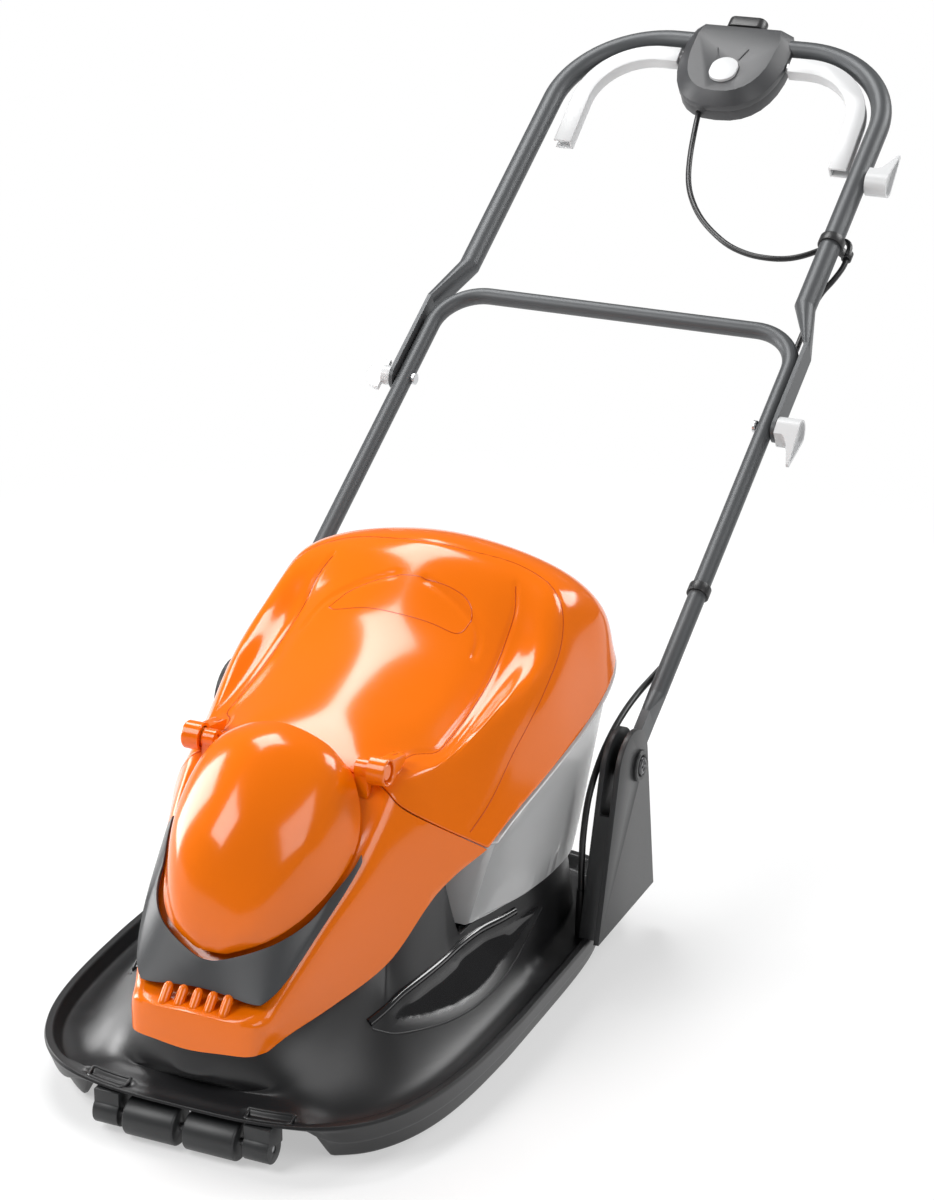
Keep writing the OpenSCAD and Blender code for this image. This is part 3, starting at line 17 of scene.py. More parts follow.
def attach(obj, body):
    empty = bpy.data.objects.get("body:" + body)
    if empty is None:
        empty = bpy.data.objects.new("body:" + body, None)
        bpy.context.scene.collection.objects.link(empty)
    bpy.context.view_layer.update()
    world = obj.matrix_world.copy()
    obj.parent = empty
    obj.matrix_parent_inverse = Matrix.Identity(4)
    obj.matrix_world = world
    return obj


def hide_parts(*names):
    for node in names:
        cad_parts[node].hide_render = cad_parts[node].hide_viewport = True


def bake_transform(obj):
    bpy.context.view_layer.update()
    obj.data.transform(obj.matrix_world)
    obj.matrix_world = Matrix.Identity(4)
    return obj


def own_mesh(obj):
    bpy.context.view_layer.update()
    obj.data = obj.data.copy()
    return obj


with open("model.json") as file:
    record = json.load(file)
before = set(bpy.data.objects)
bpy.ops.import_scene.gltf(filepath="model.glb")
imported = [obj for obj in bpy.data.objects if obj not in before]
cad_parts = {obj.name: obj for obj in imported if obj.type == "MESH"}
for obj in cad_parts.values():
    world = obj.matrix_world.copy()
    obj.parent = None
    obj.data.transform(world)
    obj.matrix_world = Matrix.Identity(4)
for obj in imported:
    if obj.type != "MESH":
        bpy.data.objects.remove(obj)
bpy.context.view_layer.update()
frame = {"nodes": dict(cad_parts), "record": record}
LOG = logging.getLogger("hover_mower")
NODE_BODY = {node: body for body, nodes in frame["record"]["behaviour"]["bodies"].items() for node in nodes}

MM = 0.001
SIDES = ((1, "right"), (-1, "left"))

# The handle's pivot, along and up in millimetres, and its rise
HANDLE_PIVOT = (240, 177)
HANDLE_RISE = math.radians(31)

# What all finishes share
COAT_ROUGHNESS = 0.06
RELIEF = 0.4 * MM
BRUSH_STRETCH = (1, 1, 14)
RIPPLE_DETAIL, GRAIN_DETAIL = 2, 5
DRIFT_SCALE, DRIFT_DETAIL = 11.0, 4
LEAST_GLOSS, MOST_GLOSS = 0.85, 1.2
POLISHED = 0.14

# Angles in degrees that decide what stays an edge, and distances at which corners merge
EDGE_ANGLE = 32
SHELL_EDGE_ANGLE, SHELL_SHADE_ANGLE = 38, 50
JOIN_ANGLE, JOIN_SHAPE_ANGLE = 35, 70
FLAT_ANGLE, BEVEL_ANGLE = 0.6, 40
BEVEL_STEPS = 2
CREASE = 0.9
COPY_MERGE, GROWN_MERGE, TURNED_MERGE = 0.01 * MM, 0.001 * MM, 0.002 * MM

# Upward share of a normal where a pressed line starts, and over which it reaches its depth
UPWARD_FROM, UPWARD_RISE = 0.2, 0.35

# Steps from each point of a groove to the next, and height from which a plan is laid on a piece, in metres
GROOVE_STEPS, OVERHEAD = 4, 1.0

# Steps along and round a fin, and how blunt its ends are
FIN_STEPS, FIN_SIDES = 25, 18
FIN_BLUNTNESS, FIN_FULL = 5.0, 1.002

# Faces round a screw head, its taper, and the reach and height of its recess as shares of its size
HEAD_SIDES, HEAD_TAPER = 40, 0.78
RECESS_REACH, RECESS_LIFT = 1.1, 0.8

Point = tuple[float, float, float]
Plan = tuple[float, float]
Piece = bpy.types.Object
Tree = bpy.types.NodeTree
Socket = bpy.types.NodeSocket
Feed = Union[Socket, float, str, bool, Sequence[float], bpy.types.Material]
Feeds = Mapping[Union[str, int], Feed]


class Texture(Enum):
    """How a surface breaks up when seen close."""

    RIPPLE = "ripple"
    GRAIN = "grain"
    BRUSHED = "brushed"


class Form(Enum):
    """How a solid of the frame is smoothed before it is dressed."""

    SHELL = "shell"
    CUT = "cut"
    PLAIN = "plain"


class Mask(Enum):
    """Attributes that a mesh carries for its material."""

    NONE = ""
    POLISH = "polish"
    BAND = "band"


def fed(tree: Tree, node: bpy.types.Node, feeds: Feeds) -> None:
    """Feeds the inputs of a node.

    Args:
        tree: The tree that holds it.
        node: The node.
        feeds: Another node's socket or a value for each input, by the input's name or place.
    """
    for label, feed in feeds.items():
        if isinstance(feed, Socket):
            tree.links.new(feed, node.inputs[label])
        else:
            node.inputs[label].default_value = feed


def added(tree: Tree, kind: str, feeds: Optional[Feeds] = None, **settings: str) -> bpy.types.Node:
    """Adds a node to a tree.

    Args:
        tree: The tree.
        kind: Type of the node.
        feeds: What its inputs get.
        **settings: Properties of the node.

    Returns:
        The new node.
    """
    made = tree.nodes.new(kind)
    for label, value in settings.items():
        setattr(made, label, value)
    fed(tree, made, feeds or {})
    return made


def ranged(tree: Tree, share: Socket, low: float, high: float) -> Socket:
    """Returns the value between two ends that a share from 0 to 1 stands for."""
    return added(tree, "ShaderNodeMapRange", {"Value": share, "To Min": low, "To Max": high}).outputs["Result"]


def blended(tree: Tree, share: Socket, first: Feed, second: Feed) -> Socket:
    """Mixes two colours.

    Args:
        tree: The tree.
        share: Share of the second colour.
        first: The first colour, or the socket that gives it.
        second: The second.

    Returns:
        The mixed colour.
    """
    mix = added(tree, "ShaderNodeMix", {"Factor": share}, data_type="RGBA")
    places = [place for place, socket in enumerate(mix.inputs) if socket.type == "RGBA"]
    fed(tree, mix, dict(zip(places, (first, second))))
    return next(socket for socket in mix.outputs if socket.type == "RGBA")


@dataclass(frozen=True)
class Finish:
    """One finish of the mower.

    Attributes:
        name: Name of the material.
        colour: Base colour, linear.
        roughness: Middle roughness.
        metallic: Metal share.
        coat: Clear coat weight.
        specular: Specular level.
        transmission: Share of light let through.
        texture: How the surface breaks up.
        scale: Frequency of that texture, per metre.
        depth: Strength of its relief.
        variation: Share by which the colour drifts over the surface.
        mask: Attribute that polishes or lightens parts of the surface.
        light: Colour where the mask is full; on the trim it is a painted highlight.
    """

    name: str
    colour: Point
    roughness: float
    metallic: float = 0.0
    coat: float = 0.0
    specular: float = 0.5
    transmission: float = 0.0
    texture: Texture = Texture.GRAIN
    scale: float = 900.0
    depth: float = 0.08
    variation: float = 0.08
    mask: Mask = Mask.NONE
    light: Point = (0.0, 0.0, 0.0)

    def material(self) -> bpy.types.Material:
        """Returns the node material of this finish, made once."""
        made = bpy.data.materials.get(self.name)
        return made if made else self._build()

    def _build(self) -> bpy.types.Material:
        """Builds the material's node tree.

        Returns:
            The new material.
        """
        material = bpy.data.materials.new(self.name)
        material.use_nodes = True
        tree = material.node_tree
        place = added(tree, "ShaderNodeTexCoord").outputs["Object"]
        stretch = BRUSH_STRETCH if self.texture is Texture.BRUSHED else (1, 1, 1)
        where = added(tree, "ShaderNodeMapping", {"Vector": place, "Scale": stretch}).outputs["Vector"]
        detail = RIPPLE_DETAIL if self.texture is Texture.RIPPLE else GRAIN_DETAIL
        fine = self._noise(tree, where, self.scale, detail)
        drift = self._noise(tree, place, DRIFT_SCALE, DRIFT_DETAIL)
        dark, bright = ([min(1.0, c * (1 + way * self.variation)) for c in self.colour] for way in (-1, 1))
        colour = blended(tree, drift, (*dark, 1), (*bright, 1))
        gloss = ranged(tree, fine, self.roughness * LEAST_GLOSS, min(1.0, self.roughness * MOST_GLOSS))
        depth: Feed = self.depth
        if self.mask is not Mask.NONE:
            colour, gloss, depth = self._masked(tree, colour, gloss)
        bump = added(tree, "ShaderNodeBump", {"Strength": depth, "Distance": RELIEF, "Height": fine})
        fed(tree, tree.nodes["Principled BSDF"], {
            "Base Color": colour, "Roughness": gloss, "Normal": bump.outputs["Normal"], "Metallic": self.metallic,
            "Coat Weight": self.coat, "Coat Roughness": COAT_ROUGHNESS, "Specular IOR Level": self.specular,
            "Transmission Weight": self.transmission})
        return material

    def _masked(self, tree: Tree, colour: Socket, gloss: Socket) -> tuple[Socket, Socket, Feed]:
        """Lets the mesh's own attribute change the colour, or the gloss and the relief.

        Args:
            tree: The material's tree.
            colour: Colour so far.
            gloss: Roughness so far.

        Returns:
            The new colour, roughness and strength of the relief.
        """
        share = added(tree, "ShaderNodeAttribute", attribute_name=self.mask.value).outputs["Fac"]
        if self.mask is Mask.BAND:
            return blended(tree, share, colour, (*self.light, 1)), gloss, self.depth
        product = added(tree, "ShaderNodeMath", {0: gloss, 1: ranged(tree, share, 1.0, POLISHED)},
                        operation="MULTIPLY")
        return colour, product.outputs["Value"], ranged(tree, share, self.depth, 0.0)

    @staticmethod
    def _noise(tree: Tree, where: Socket, scale: float, detail: float) -> Socket:
        """Returns a noise of that scale and detail."""
        return added(tree, "ShaderNodeTexNoise", {"Vector": where, "Scale": scale, "Detail": detail}).outputs["Fac"]


ORANGE = Finish("orange_gloss", (0.86, 0.165, 0.001), 0.15, coat=0.15, specular=0.42, texture=Texture.RIPPLE,
                scale=50, depth=0.02, variation=0.03)
# Darker orange of the lid's fine lines: painted shade of narrow grooves
ORANGE_GROOVE_SHADE = Finish("orange_painted_groove_shade", (0.52, 0.06, 0.001), 0.22, specular=0.4, texture=Texture.RIPPLE, scale=50,
                     depth=0.02)
BLACK = Finish("black_moulding", (0.02, 0.02, 0.021), 0.38, scale=1400, depth=0.1, variation=0.15)
DECK_BLACK = Finish("deck_moulding", (0.013, 0.013, 0.014), 0.36, scale=1400, depth=0.1, variation=0.15,
                    mask=Mask.POLISH)
GLOSS_BLACK = Finish("polished_black", (0.012, 0.012, 0.013), 0.1, coat=0.6, texture=Texture.RIPPLE, scale=60,
                     depth=0.02)
GREY = Finish("grey_moulding", (0.042, 0.043, 0.046), 0.42, scale=1300, depth=0.1)
# Trim with a pale band along the pod cover: painted highlight of an edge that catches the light
TRIM_PAINTED_HIGHLIGHT = Finish("trim_moulding_painted_highlight", (0.048, 0.05, 0.053), 0.4, scale=1300, depth=0.1, mask=Mask.BAND,
              light=(0.13, 0.13, 0.135))
DARK_GREY = Finish("dark_grey_moulding", (0.024, 0.025, 0.026), 0.4, scale=1300, depth=0.1)
SMOKE = Finish("smoky_clear", (0.62, 0.625, 0.63), 0.22, coat=0.25, transmission=0.2, texture=Texture.RIPPLE,
               scale=40, depth=0.03, mask=Mask.BAND, light=(0.9, 0.9, 0.9))
PALE = Finish("pale_moulding", (0.6, 0.605, 0.61), 0.34, scale=1200, depth=0.05, variation=0.04)
TUBE = Finish("tube_paint", (0.022, 0.023, 0.025), 0.22, coat=0.4, texture=Texture.RIPPLE, scale=30, depth=0.01)
STEEL = Finish("bright_zinc", (0.6, 0.61, 0.62), 0.3, metallic=1.0, texture=Texture.BRUSHED, scale=500, depth=0.08)
DARK_STEEL = Finish("blackened_steel", (0.09, 0.09, 0.095), 0.3, metallic=0.8, scale=700, depth=0.06)
IRON = Finish("varnished_iron", (0.2, 0.12, 0.07), 0.5, metallic=0.7, scale=700, depth=0.1)
RUBBER = Finish("black_rubber", (0.014, 0.014, 0.015), 0.36, scale=1600, depth=0.02, variation=0.15)


class Kind(Enum):
    """Socket types of the inputs of a Geometry Nodes tree."""

    LENGTH = "NodeSocketFloat"
    COUNT = "NodeSocketInt"
    PLACE = "NodeSocketVector"


class Growth:
    """A Geometry Nodes tree with named sizes, which grows a mesh out of points or a path."""

    def __init__(self, name: str, sizes: Mapping[str, tuple[Kind, Union[float, int, Point]]]) -> None:
        """Starts the tree.

        Args:
            name: Name of the tree.
            sizes: Its named inputs, each with its type and its value.
        """
        self.values = {label: value for label, (_, value) in sizes.items()}
        self.group = bpy.data.node_groups.new(name, "GeometryNodeTree")
        face = self.group.interface
        face.new_socket("Geometry", in_out="INPUT", socket_type="NodeSocketGeometry")
        for label, (kind, _) in sizes.items():
            face.new_socket(label, in_out="INPUT", socket_type=kind.value)
        face.new_socket("Geometry", in_out="OUTPUT", socket_type="NodeSocketGeometry")
        self.sizes = added(self.group, "NodeGroupInput").outputs

    def node(self, kind: str, feeds: Optional[Feeds] = None, **settings: str) -> Socket:
        """Adds a node to this tree and returns its first output."""
        return added(self.group, kind, feeds, **settings).outputs[0]

    def math(self, operation: str, first: Feed, second: Feed = 0.0) -> Socket:
        """Returns the result of a sum on two sockets or numbers."""
        return self.node("ShaderNodeMath", {0: first, 1: second}, operation=operation)

    def vector(self, feeds: Feeds) -> Socket:
        """Returns a vector with some of its three parts fed."""
        return self.node("ShaderNodeCombineXYZ", feeds)

    def close(self, shape: Socket, finish: Finish) -> None:
        """Ends the tree with real geometry in one finish.

        Args:
            shape: The geometry so far.
            finish: Its finish.
        """
        real = self.node("GeometryNodeRealizeInstances", {"Geometry": shape})
        smooth = self.node("GeometryNodeSetShadeSmooth", {"Geometry": real})
        coated = self.node("GeometryNodeSetMaterial", {"Geometry": smooth, "Material": finish.material()})
        added(self.group, "NodeGroupOutput", {"Geometry": coated})

    def grow(self, piece: Piece) -> Piece:
        """Grows the mesh on a piece and leaves it plain.

        Args:
            piece: The piece whose mesh holds the points or the path.

        Returns:
            The same piece.
        """
        modifier = piece.modifiers.new(self.group.name, "NODES")
        modifier.node_group = self.group
        for socket in self.group.interface.items_tree:
            if socket.in_out == "INPUT" and socket.name in self.values:
                modifier[socket.identifier] = self.values[socket.name]
        applied(piece)
        with edited(piece.data) as form:
            bmesh.ops.remove_doubles(form, verts=form.verts, dist=GROWN_MERGE)
            bmesh.ops.recalc_face_normals(form, faces=form.faces)
        return piece


def tube_growth(name: str, radius: float, finish: Finish, sides: int) -> Growth:
    """Makes the tree that sweeps a round tube along a path.

    Args:
        name: Name of the tree.
        radius: Radius of the tube in metres.
        finish: Its finish.
        sides: Faces round the tube.

    Returns:
        The tree.
    """
    tree = Growth(name, {"Radius": (Kind.LENGTH, radius), "Sides": (Kind.COUNT, sides)})
    sizes = tree.sizes
    path = tree.node("GeometryNodeMeshToCurve", {"Mesh": sizes["Geometry"]})
    ring = tree.node("GeometryNodeCurvePrimitiveCircle", {"Radius": sizes["Radius"], "Resolution": sizes["Sides"]})
    tube = tree.node("GeometryNodeCurveToMesh", {"Curve": path, "Profile Curve": ring, "Fill Caps": True})
    tree.close(tube, finish)
    return tree


def fin_growth(name: str, count: int, spacing: float, radius: float, ends: tuple[Point, Point],
               finish: Finish) -> Growth:
    """Makes the tree that sets a row of round-ended fins side by side.

    Args:
        name: Name of the tree.
        count: Number of fins.
        spacing: Distance from one to the next in metres.
        radius: Radius of a fin in metres.
        ends: Lower and upper end of the middle fin in metres.
        finish: Their finish.

    Returns:
        The tree.
    """
    tree = Growth(name, {"Count": (Kind.COUNT, count), "Spacing": (Kind.LENGTH, spacing),
                         "Radius": (Kind.LENGTH, radius), "Foot": (Kind.PLACE, ends[0]),
                         "Top": (Kind.PLACE, ends[1])})
    sizes = tree.sizes
    steps = tree.math("SUBTRACT", sizes["Count"], 1.0)
    half = tree.math("MULTIPLY", tree.math("MULTIPLY", steps, sizes["Spacing"]), -0.5)
    row = tree.node("GeometryNodeMeshLine", {"Count": sizes["Count"], "Start Location": tree.vector({"X": half}),
                                             "Offset": tree.vector({"X": sizes["Spacing"]})})
    line = tree.node("GeometryNodeCurvePrimitiveLine", {"Start": sizes["Foot"], "End": sizes["Top"]})
    path = tree.node("GeometryNodeResampleCurve", {"Curve": line, "Count": FIN_STEPS})
    along = tree.node("GeometryNodeSplineParameter")
    middle = tree.math("SUBTRACT", tree.math("MULTIPLY", along, 2.0), 1.0)
    taper = tree.math("POWER", tree.math("ABSOLUTE", middle), FIN_BLUNTNESS)
    girth = tree.math("MULTIPLY", tree.math("SQRT", tree.math("SUBTRACT", FIN_FULL, taper)), sizes["Radius"])
    ring = tree.node("GeometryNodeCurvePrimitiveCircle", {"Resolution": FIN_SIDES, "Radius": 1.0})
    fin = tree.node("GeometryNodeCurveToMesh",
                    {"Curve": path, "Scale": girth, "Profile Curve": ring, "Fill Caps": True})
    fins = tree.node("GeometryNodeInstanceOnPoints", {"Points": row, "Instance": fin})
    tree.close(fins, finish)
    return tree


def cross_head_growth(name: str, radius: float, height: float, slot: float, finish: Finish) -> Growth:
    """Makes the tree that sets a cross-recessed screw head on each point, facing along its axis attribute.

    Args:
        name: Name of the tree.
        radius: Radius of a head in metres.
        height: Its height in metres.
        slot: Width of its recess in metres.
        finish: Its finish.

    Returns:
        The tree.
    """
    tree = Growth(name, {"Radius": (Kind.LENGTH, radius), "Height": (Kind.LENGTH, height),
                         "Slot": (Kind.LENGTH, slot)})
    sizes = tree.sizes
    top = tree.math("MULTIPLY", sizes["Radius"], HEAD_TAPER)
    shape = tree.node("GeometryNodeMeshCone", {"Radius Bottom": sizes["Radius"], "Depth": sizes["Height"],
                                               "Radius Top": top, "Vertices": HEAD_SIDES})
    reach = tree.math("MULTIPLY", sizes["Radius"], RECESS_REACH)
    lift = tree.vector({"Z": tree.math("MULTIPLY", sizes["Height"], RECESS_LIFT)})
    for x, y in ((reach, sizes["Slot"]), (sizes["Slot"], reach)):
        block = tree.node("GeometryNodeMeshCube", {"Size": tree.vector({"X": x, "Y": y, "Z": sizes["Height"]})})
        raised = tree.node("GeometryNodeTransform", {"Geometry": block, "Translation": lift})
        shape = tree.node("GeometryNodeMeshBoolean", {"Mesh 1": shape, "Mesh 2": raised}, operation="DIFFERENCE")
    axis = tree.node("GeometryNodeInputNamedAttribute", {"Name": "axis"}, data_type="FLOAT_VECTOR")
    turn = tree.node("FunctionNodeAlignRotationToVector", {"Vector": axis}, axis="Z")
    heads = tree.node("GeometryNodeInstanceOnPoints",
                      {"Points": sizes["Geometry"], "Instance": shape, "Rotation": turn})
    tree.close(heads, finish)
    return tree


@contextmanager
def edited(mesh: bpy.types.Mesh) -> Iterator[bmesh.types.BMesh]:
    """Opens a mesh for editing and writes it back at the end.

    Args:
        mesh: The mesh.

    Yields:
        Its editable form.
    """
    form = bmesh.new()
    form.from_mesh(mesh)
    yield form
    form.to_mesh(mesh)
    form.free()


def linked(name: str, data: bpy.types.ID) -> Piece:
    """Makes an object and links it to the scene.

    Args:
        name: Name of the object.
        data: Its mesh, light or camera.

    Returns:
        The new object.
    """
    made = bpy.data.objects.new(name, data)
    bpy.context.scene.collection.objects.link(made)
    return made


def shaped(name: str, points: Iterable[Sequence[float]], edges: Sequence[tuple[int, int]] = (),
           faces: Sequence[tuple[int, ...]] = ()) -> Piece:
    """Makes an object with a mesh of its own.

    Args:
        name: Name of the object.
        points: Corners of the mesh in metres.
        edges: Its loose edges.
        faces: Its faces.

    Returns:
        The new object.
    """
    mesh = bpy.data.meshes.new(name)
    mesh.from_pydata([tuple(point) for point in points], edges, faces)
    return linked(name, mesh)


def pathed(name: str, points: Sequence[Sequence[float]], closed: bool = False) -> Piece:
    """Makes an object whose mesh is a path of points.

    Args:
        name: Name of the object.
        points: Points in metres.
        closed: Whether the last point joins the first.

    Returns:
        The new object.
    """
    edges = [(i, i + 1) for i in range(len(points) - 1)] + ([(len(points) - 1, 0)] if closed else [])
    return shaped(name, points, edges)


def spline(points: Sequence[Sequence[float]], steps: int) -> np.ndarray:
    """Runs a smooth curve through points.

    Args:
        points: The points.
        steps: Steps from each point to the next.

    Returns:
        The curve's points.
    """
    p = np.asarray(points, float)
    p = np.vstack([2 * p[0] - p[1], p, 2 * p[-1] - p[-2]])
    made = []
    for a, b, c, d in zip(p, p[1:], p[2:], p[3:]):
        for t in np.arange(steps) / steps:
            made.append((2 * b + (c - a) * t + (2 * a - 5 * b + 4 * c - d) * t ** 2
                         + (3 * b - a - 3 * c + d) * t ** 3) / 2)
    return np.vstack(made + [p[-2]])


def mirrored(line: Iterable[Plan]) -> tuple[Plan, ...]:
    """Returns a line on the mower's other side."""
    return tuple((-x, other) for x, other in line)


def smoothstep(value: np.ndarray) -> np.ndarray:
    """Returns an even rise from 0 to 1."""
    t = np.clip(value, 0, 1)
    return t * t * (3 - 2 * t)


@dataclass(frozen=True)
class Groove:
    """A line pressed into both halves of a shell.

    Attributes:
        line: Its points in plan on the right half, in millimetres.
        width: Reach to each side in millimetres.
        depth: Depth in millimetres.
    """

    line: tuple[Plan, ...]
    width: float
    depth: float

    def depth_at(self, plan: np.ndarray) -> np.ndarray:
        """Measures the groove.

        Args:
            plan: Points in plan in millimetres.

        Returns:
            The depth at each point in millimetres.
        """
        where = plan.copy()
        where[:, 0] = np.abs(where[:, 0])
        line = spline(self.line, GROOVE_STEPS)
        near = np.full(len(where), np.inf)
        for a, b in zip(line, line[1:]):
            run = b - a
            t = np.clip(((where - a) @ run) / max(run @ run, 1e-9), 0, 1)
            near = np.minimum(near, np.linalg.norm(where - a - t[:, None] * run, axis=1))
        return self.depth * smoothstep(1 - near / self.width)


def corners(mesh: bpy.types.Mesh, kind: str = "co") -> np.ndarray:
    """Reads a mesh's corners.

    Args:
        mesh: The mesh.
        kind: Property to read: co for the places, normal for the normals.

    Returns:
        One row for each corner.
    """
    flat = np.empty(len(mesh.vertices) * 3)
    mesh.vertices.foreach_get(kind, flat)
    return flat.reshape(-1, 3)


def moved(piece: Piece, places: np.ndarray) -> None:
    """Moves the corners of a piece to new places in metres."""
    piece.data.vertices.foreach_set("co", places.ravel())
    piece.data.update()


def pressed(piece: Piece, grooves: Sequence[Groove], inside: Point) -> None:
    """Presses lines into the outer face of a shell, where it looks upward.

    Args:
        piece: The shell.
        grooves: The lines.
        inside: A point inside the shell in millimetres, from which the outer face looks away.
    """
    place, normal = corners(piece.data), corners(piece.data, "normal")
    outer = ((place - np.asarray(inside) * MM) * normal).sum(1) > 0
    depth = np.max([groove.depth_at(place[:, :2] / MM) for groove in grooves], axis=0)
    upward = smoothstep((normal[:, 2] - UPWARD_FROM) / UPWARD_RISE)
    moved(piece, place - normal * (depth * outer * upward * MM)[:, None])


def masked(piece: Piece, mask: Mask, share: np.ndarray) -> None:
    """Stores a share at each corner for the piece's material.

    Args:
        piece: The piece.
        mask: Name of the attribute.
        share: The shares.
    """
    store = piece.data.attributes.new(mask.value, "FLOAT", "POINT")
    store.data.foreach_set("value", share.astype(np.float32))


def turned(name: str, profile: Sequence[Plan], centre: Point, axis: Point, steps: int = 48) -> Piece:
    """Turns a closed profile round an axis.

    Args:
        name: Name of the piece.
        profile: Points as radius and place along the axis, in millimetres.
        centre: A point on the axis in millimetres.
        axis: Direction of the axis.
        steps: Faces round the axis.

    Returns:
        The new piece.
    """
    along = Vector(axis).normalized()
    side = along.orthogonal().normalized()
    over = along.cross(side)
    count = len(profile)
    points = []
    for step in range(steps):
        turn = 2 * math.pi * step / steps
        out = math.cos(turn) * side + math.sin(turn) * over
        points += [(Vector(centre) + r * out + z * along) * MM for r, z in profile]
    faces = [(s * count + i, s * count + (i + 1) % count, (s + 1) % steps * count + (i + 1) % count,
              (s + 1) % steps * count + i) for s in range(steps) for i in range(count)]
    piece = shaped(name, points, faces=faces)
    with edited(piece.data) as form:
        bmesh.ops.remove_doubles(form, verts=form.verts, dist=TURNED_MERGE)
        bmesh.ops.recalc_face_normals(form, faces=form.faces)
    smooth_by_angle(piece.data, EDGE_ANGLE)
    return piece


def plate(name: str, outline: Sequence[Point], thickness: Point) -> Piece:
    """Makes a flat plate.

    Args:
        name: Name of the piece.
        outline: Corners of one face in millimetres.
        thickness: Step from that face to the other in millimetres.

    Returns:
        The new piece.
    """
    count = len(outline)
    points = [Vector(p) * MM for p in outline] + [(Vector(p) + Vector(thickness)) * MM for p in outline]
    faces = [tuple(range(count)), tuple(range(2 * count - 1, count - 1, -1))]
    faces += [((i + 1) % count, i, count + i, count + (i + 1) % count) for i in range(count)]
    piece = shaped(name, points, faces=faces)
    with edited(piece.data) as form:
        bmesh.ops.recalc_face_normals(form, faces=form.faces)
    return piece


def copied(node: str) -> Piece:
    """Copies a solid of the frame into a new object with its loose corners merged.

    Args:
        node: Name of the solid.

    Returns:
        The new object, linked to the scene.
    """
    mesh = frame["nodes"][node].data.copy()
    mesh.materials.clear()
    with edited(mesh) as form:
        bmesh.ops.remove_doubles(form, verts=form.verts, dist=COPY_MERGE)
    return linked(f"{node}_dressed", mesh)


def smooth_by_angle(mesh: bpy.types.Mesh, degrees: float, crease: bool = False) -> None:
    """Shades a mesh smooth and keeps its sharp edges.

    Args:
        mesh: The mesh.
        degrees: Least angle between two faces that stays an edge.
        crease: Whether those edges also hold under subdivision.
    """
    with edited(mesh) as form:
        layer = form.edges.layers.float.new("crease_edge") if crease else None
        for face in form.faces:
            face.smooth = True
        for edge in form.edges:
            sharp = len(edge.link_faces) == 2 and edge.calc_face_angle(0) > math.radians(degrees)
            edge.smooth = not sharp
            if layer:
                edge[layer] = CREASE if sharp else 0.0


def applied(piece: Piece) -> None:
    """Bakes a piece's modifiers into its mesh and removes them.

    Args:
        piece: The piece.
    """
    graph = bpy.context.evaluated_depsgraph_get()
    made = bpy.data.meshes.new_from_object(piece.evaluated_get(graph))
    piece.modifiers.clear()
    piece.data = made


def shelled(piece: Piece, levels: int) -> None:
    """Rounds a shell made of flat facets.

    Args:
        piece: The shell.
        levels: Times it is subdivided.
    """
    with edited(piece.data) as form:
        bmesh.ops.join_triangles(form, faces=form.faces, cmp_seam=False, cmp_sharp=False, cmp_uvs=False,
                                 cmp_vcols=False, cmp_materials=False, angle_face_threshold=math.radians(JOIN_ANGLE),
                                 angle_shape_threshold=math.radians(JOIN_SHAPE_ANGLE))
    smooth_by_angle(piece.data, SHELL_EDGE_ANGLE, crease=True)
    rounder = piece.modifiers.new("round", "SUBSURF")
    rounder.levels = levels
    rounder.render_levels = levels
    applied(piece)
    smooth_by_angle(piece.data, SHELL_SHADE_ANGLE)


def softened(piece: Piece, width: float) -> None:
    """Breaks the edges of a cut solid.

    Args:
        piece: The solid.
        width: Width of the broken edge in metres.
    """
    with edited(piece.data) as form:
        bmesh.ops.dissolve_limit(form, angle_limit=math.radians(FLAT_ANGLE), verts=form.verts, edges=form.edges)
    edge = piece.modifiers.new("edge", "BEVEL")
    edge.width = width
    edge.segments = BEVEL_STEPS
    edge.limit_method = "ANGLE"
    edge.angle_limit = math.radians(BEVEL_ANGLE)
    edge.use_clamp_overlap = True
    applied(piece)
    smooth_by_angle(piece.data, EDGE_ANGLE)


def seat(piece: Piece, body: str, finish: Finish,
         nodes: Sequence[str] = ()) -> Piece:
    """Gives a piece its finish and its place in the mower.

    Args:
        piece: The piece.
        body: Body of the frame that it moves with.
        finish: Its finish.
        nodes: Solids of the frame that it stands for.

    Returns:
        The same piece.
    """
    piece.data.materials.clear()
    piece.data.materials.append(finish.material())
    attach(piece, body)
    if nodes:
        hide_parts(*nodes)
    LOG.info("%s rides on %s in %s", piece.name, body, finish.name)
    return piece


def dressed(node: str, finish: Finish, form: Form = Form.PLAIN, amount: float = 0.0) -> Piece:
    """Makes the dressed copy of one solid.

    Args:
        node: Name of the solid.
        finish: Its finish.
        form: How it is smoothed.
        amount: Subdivisions of a shell, or edge width of a cut solid in millimetres.

    Returns:
        The dressed piece.
    """
    piece = copied(node)
    if form is Form.SHELL:
        shelled(piece, int(amount))
    elif form is Form.CUT:
        softened(piece, amount * MM)
    else:
        smooth_by_angle(piece.data, EDGE_ANGLE)
    return seat(piece, NODE_BODY[node], finish, (node,))


def surface(piece: Piece) -> BVHTree:
    """Returns the surface of a piece for measuring."""
    return BVHTree.FromPolygons([v.co for v in piece.data.vertices],
                                [tuple(p.vertices) for p in piece.data.polygons])


def laid(piece: Piece, points: Iterable[Sequence[float]], sink: float) -> list[Vector]:
    """Lays a line on a piece's surface.

    Args:
        piece: The piece.
        points: Points near its surface, or a plan that is laid on it from above, in millimetres.
        sink: Depth below the surface in millimetres.

    Returns:
        The line on the surface, in metres.
    """
    tree, down = surface(piece), Vector((0, 0, -1))
    hits = [tree.find_nearest(Vector(point) * MM) if len(point) == 3
            else tree.ray_cast(Vector((point[0] * MM, point[1] * MM, OVERHEAD)), down) for point in points]
    return [place - normal * sink * MM for place, normal, _, _ in hits if place]


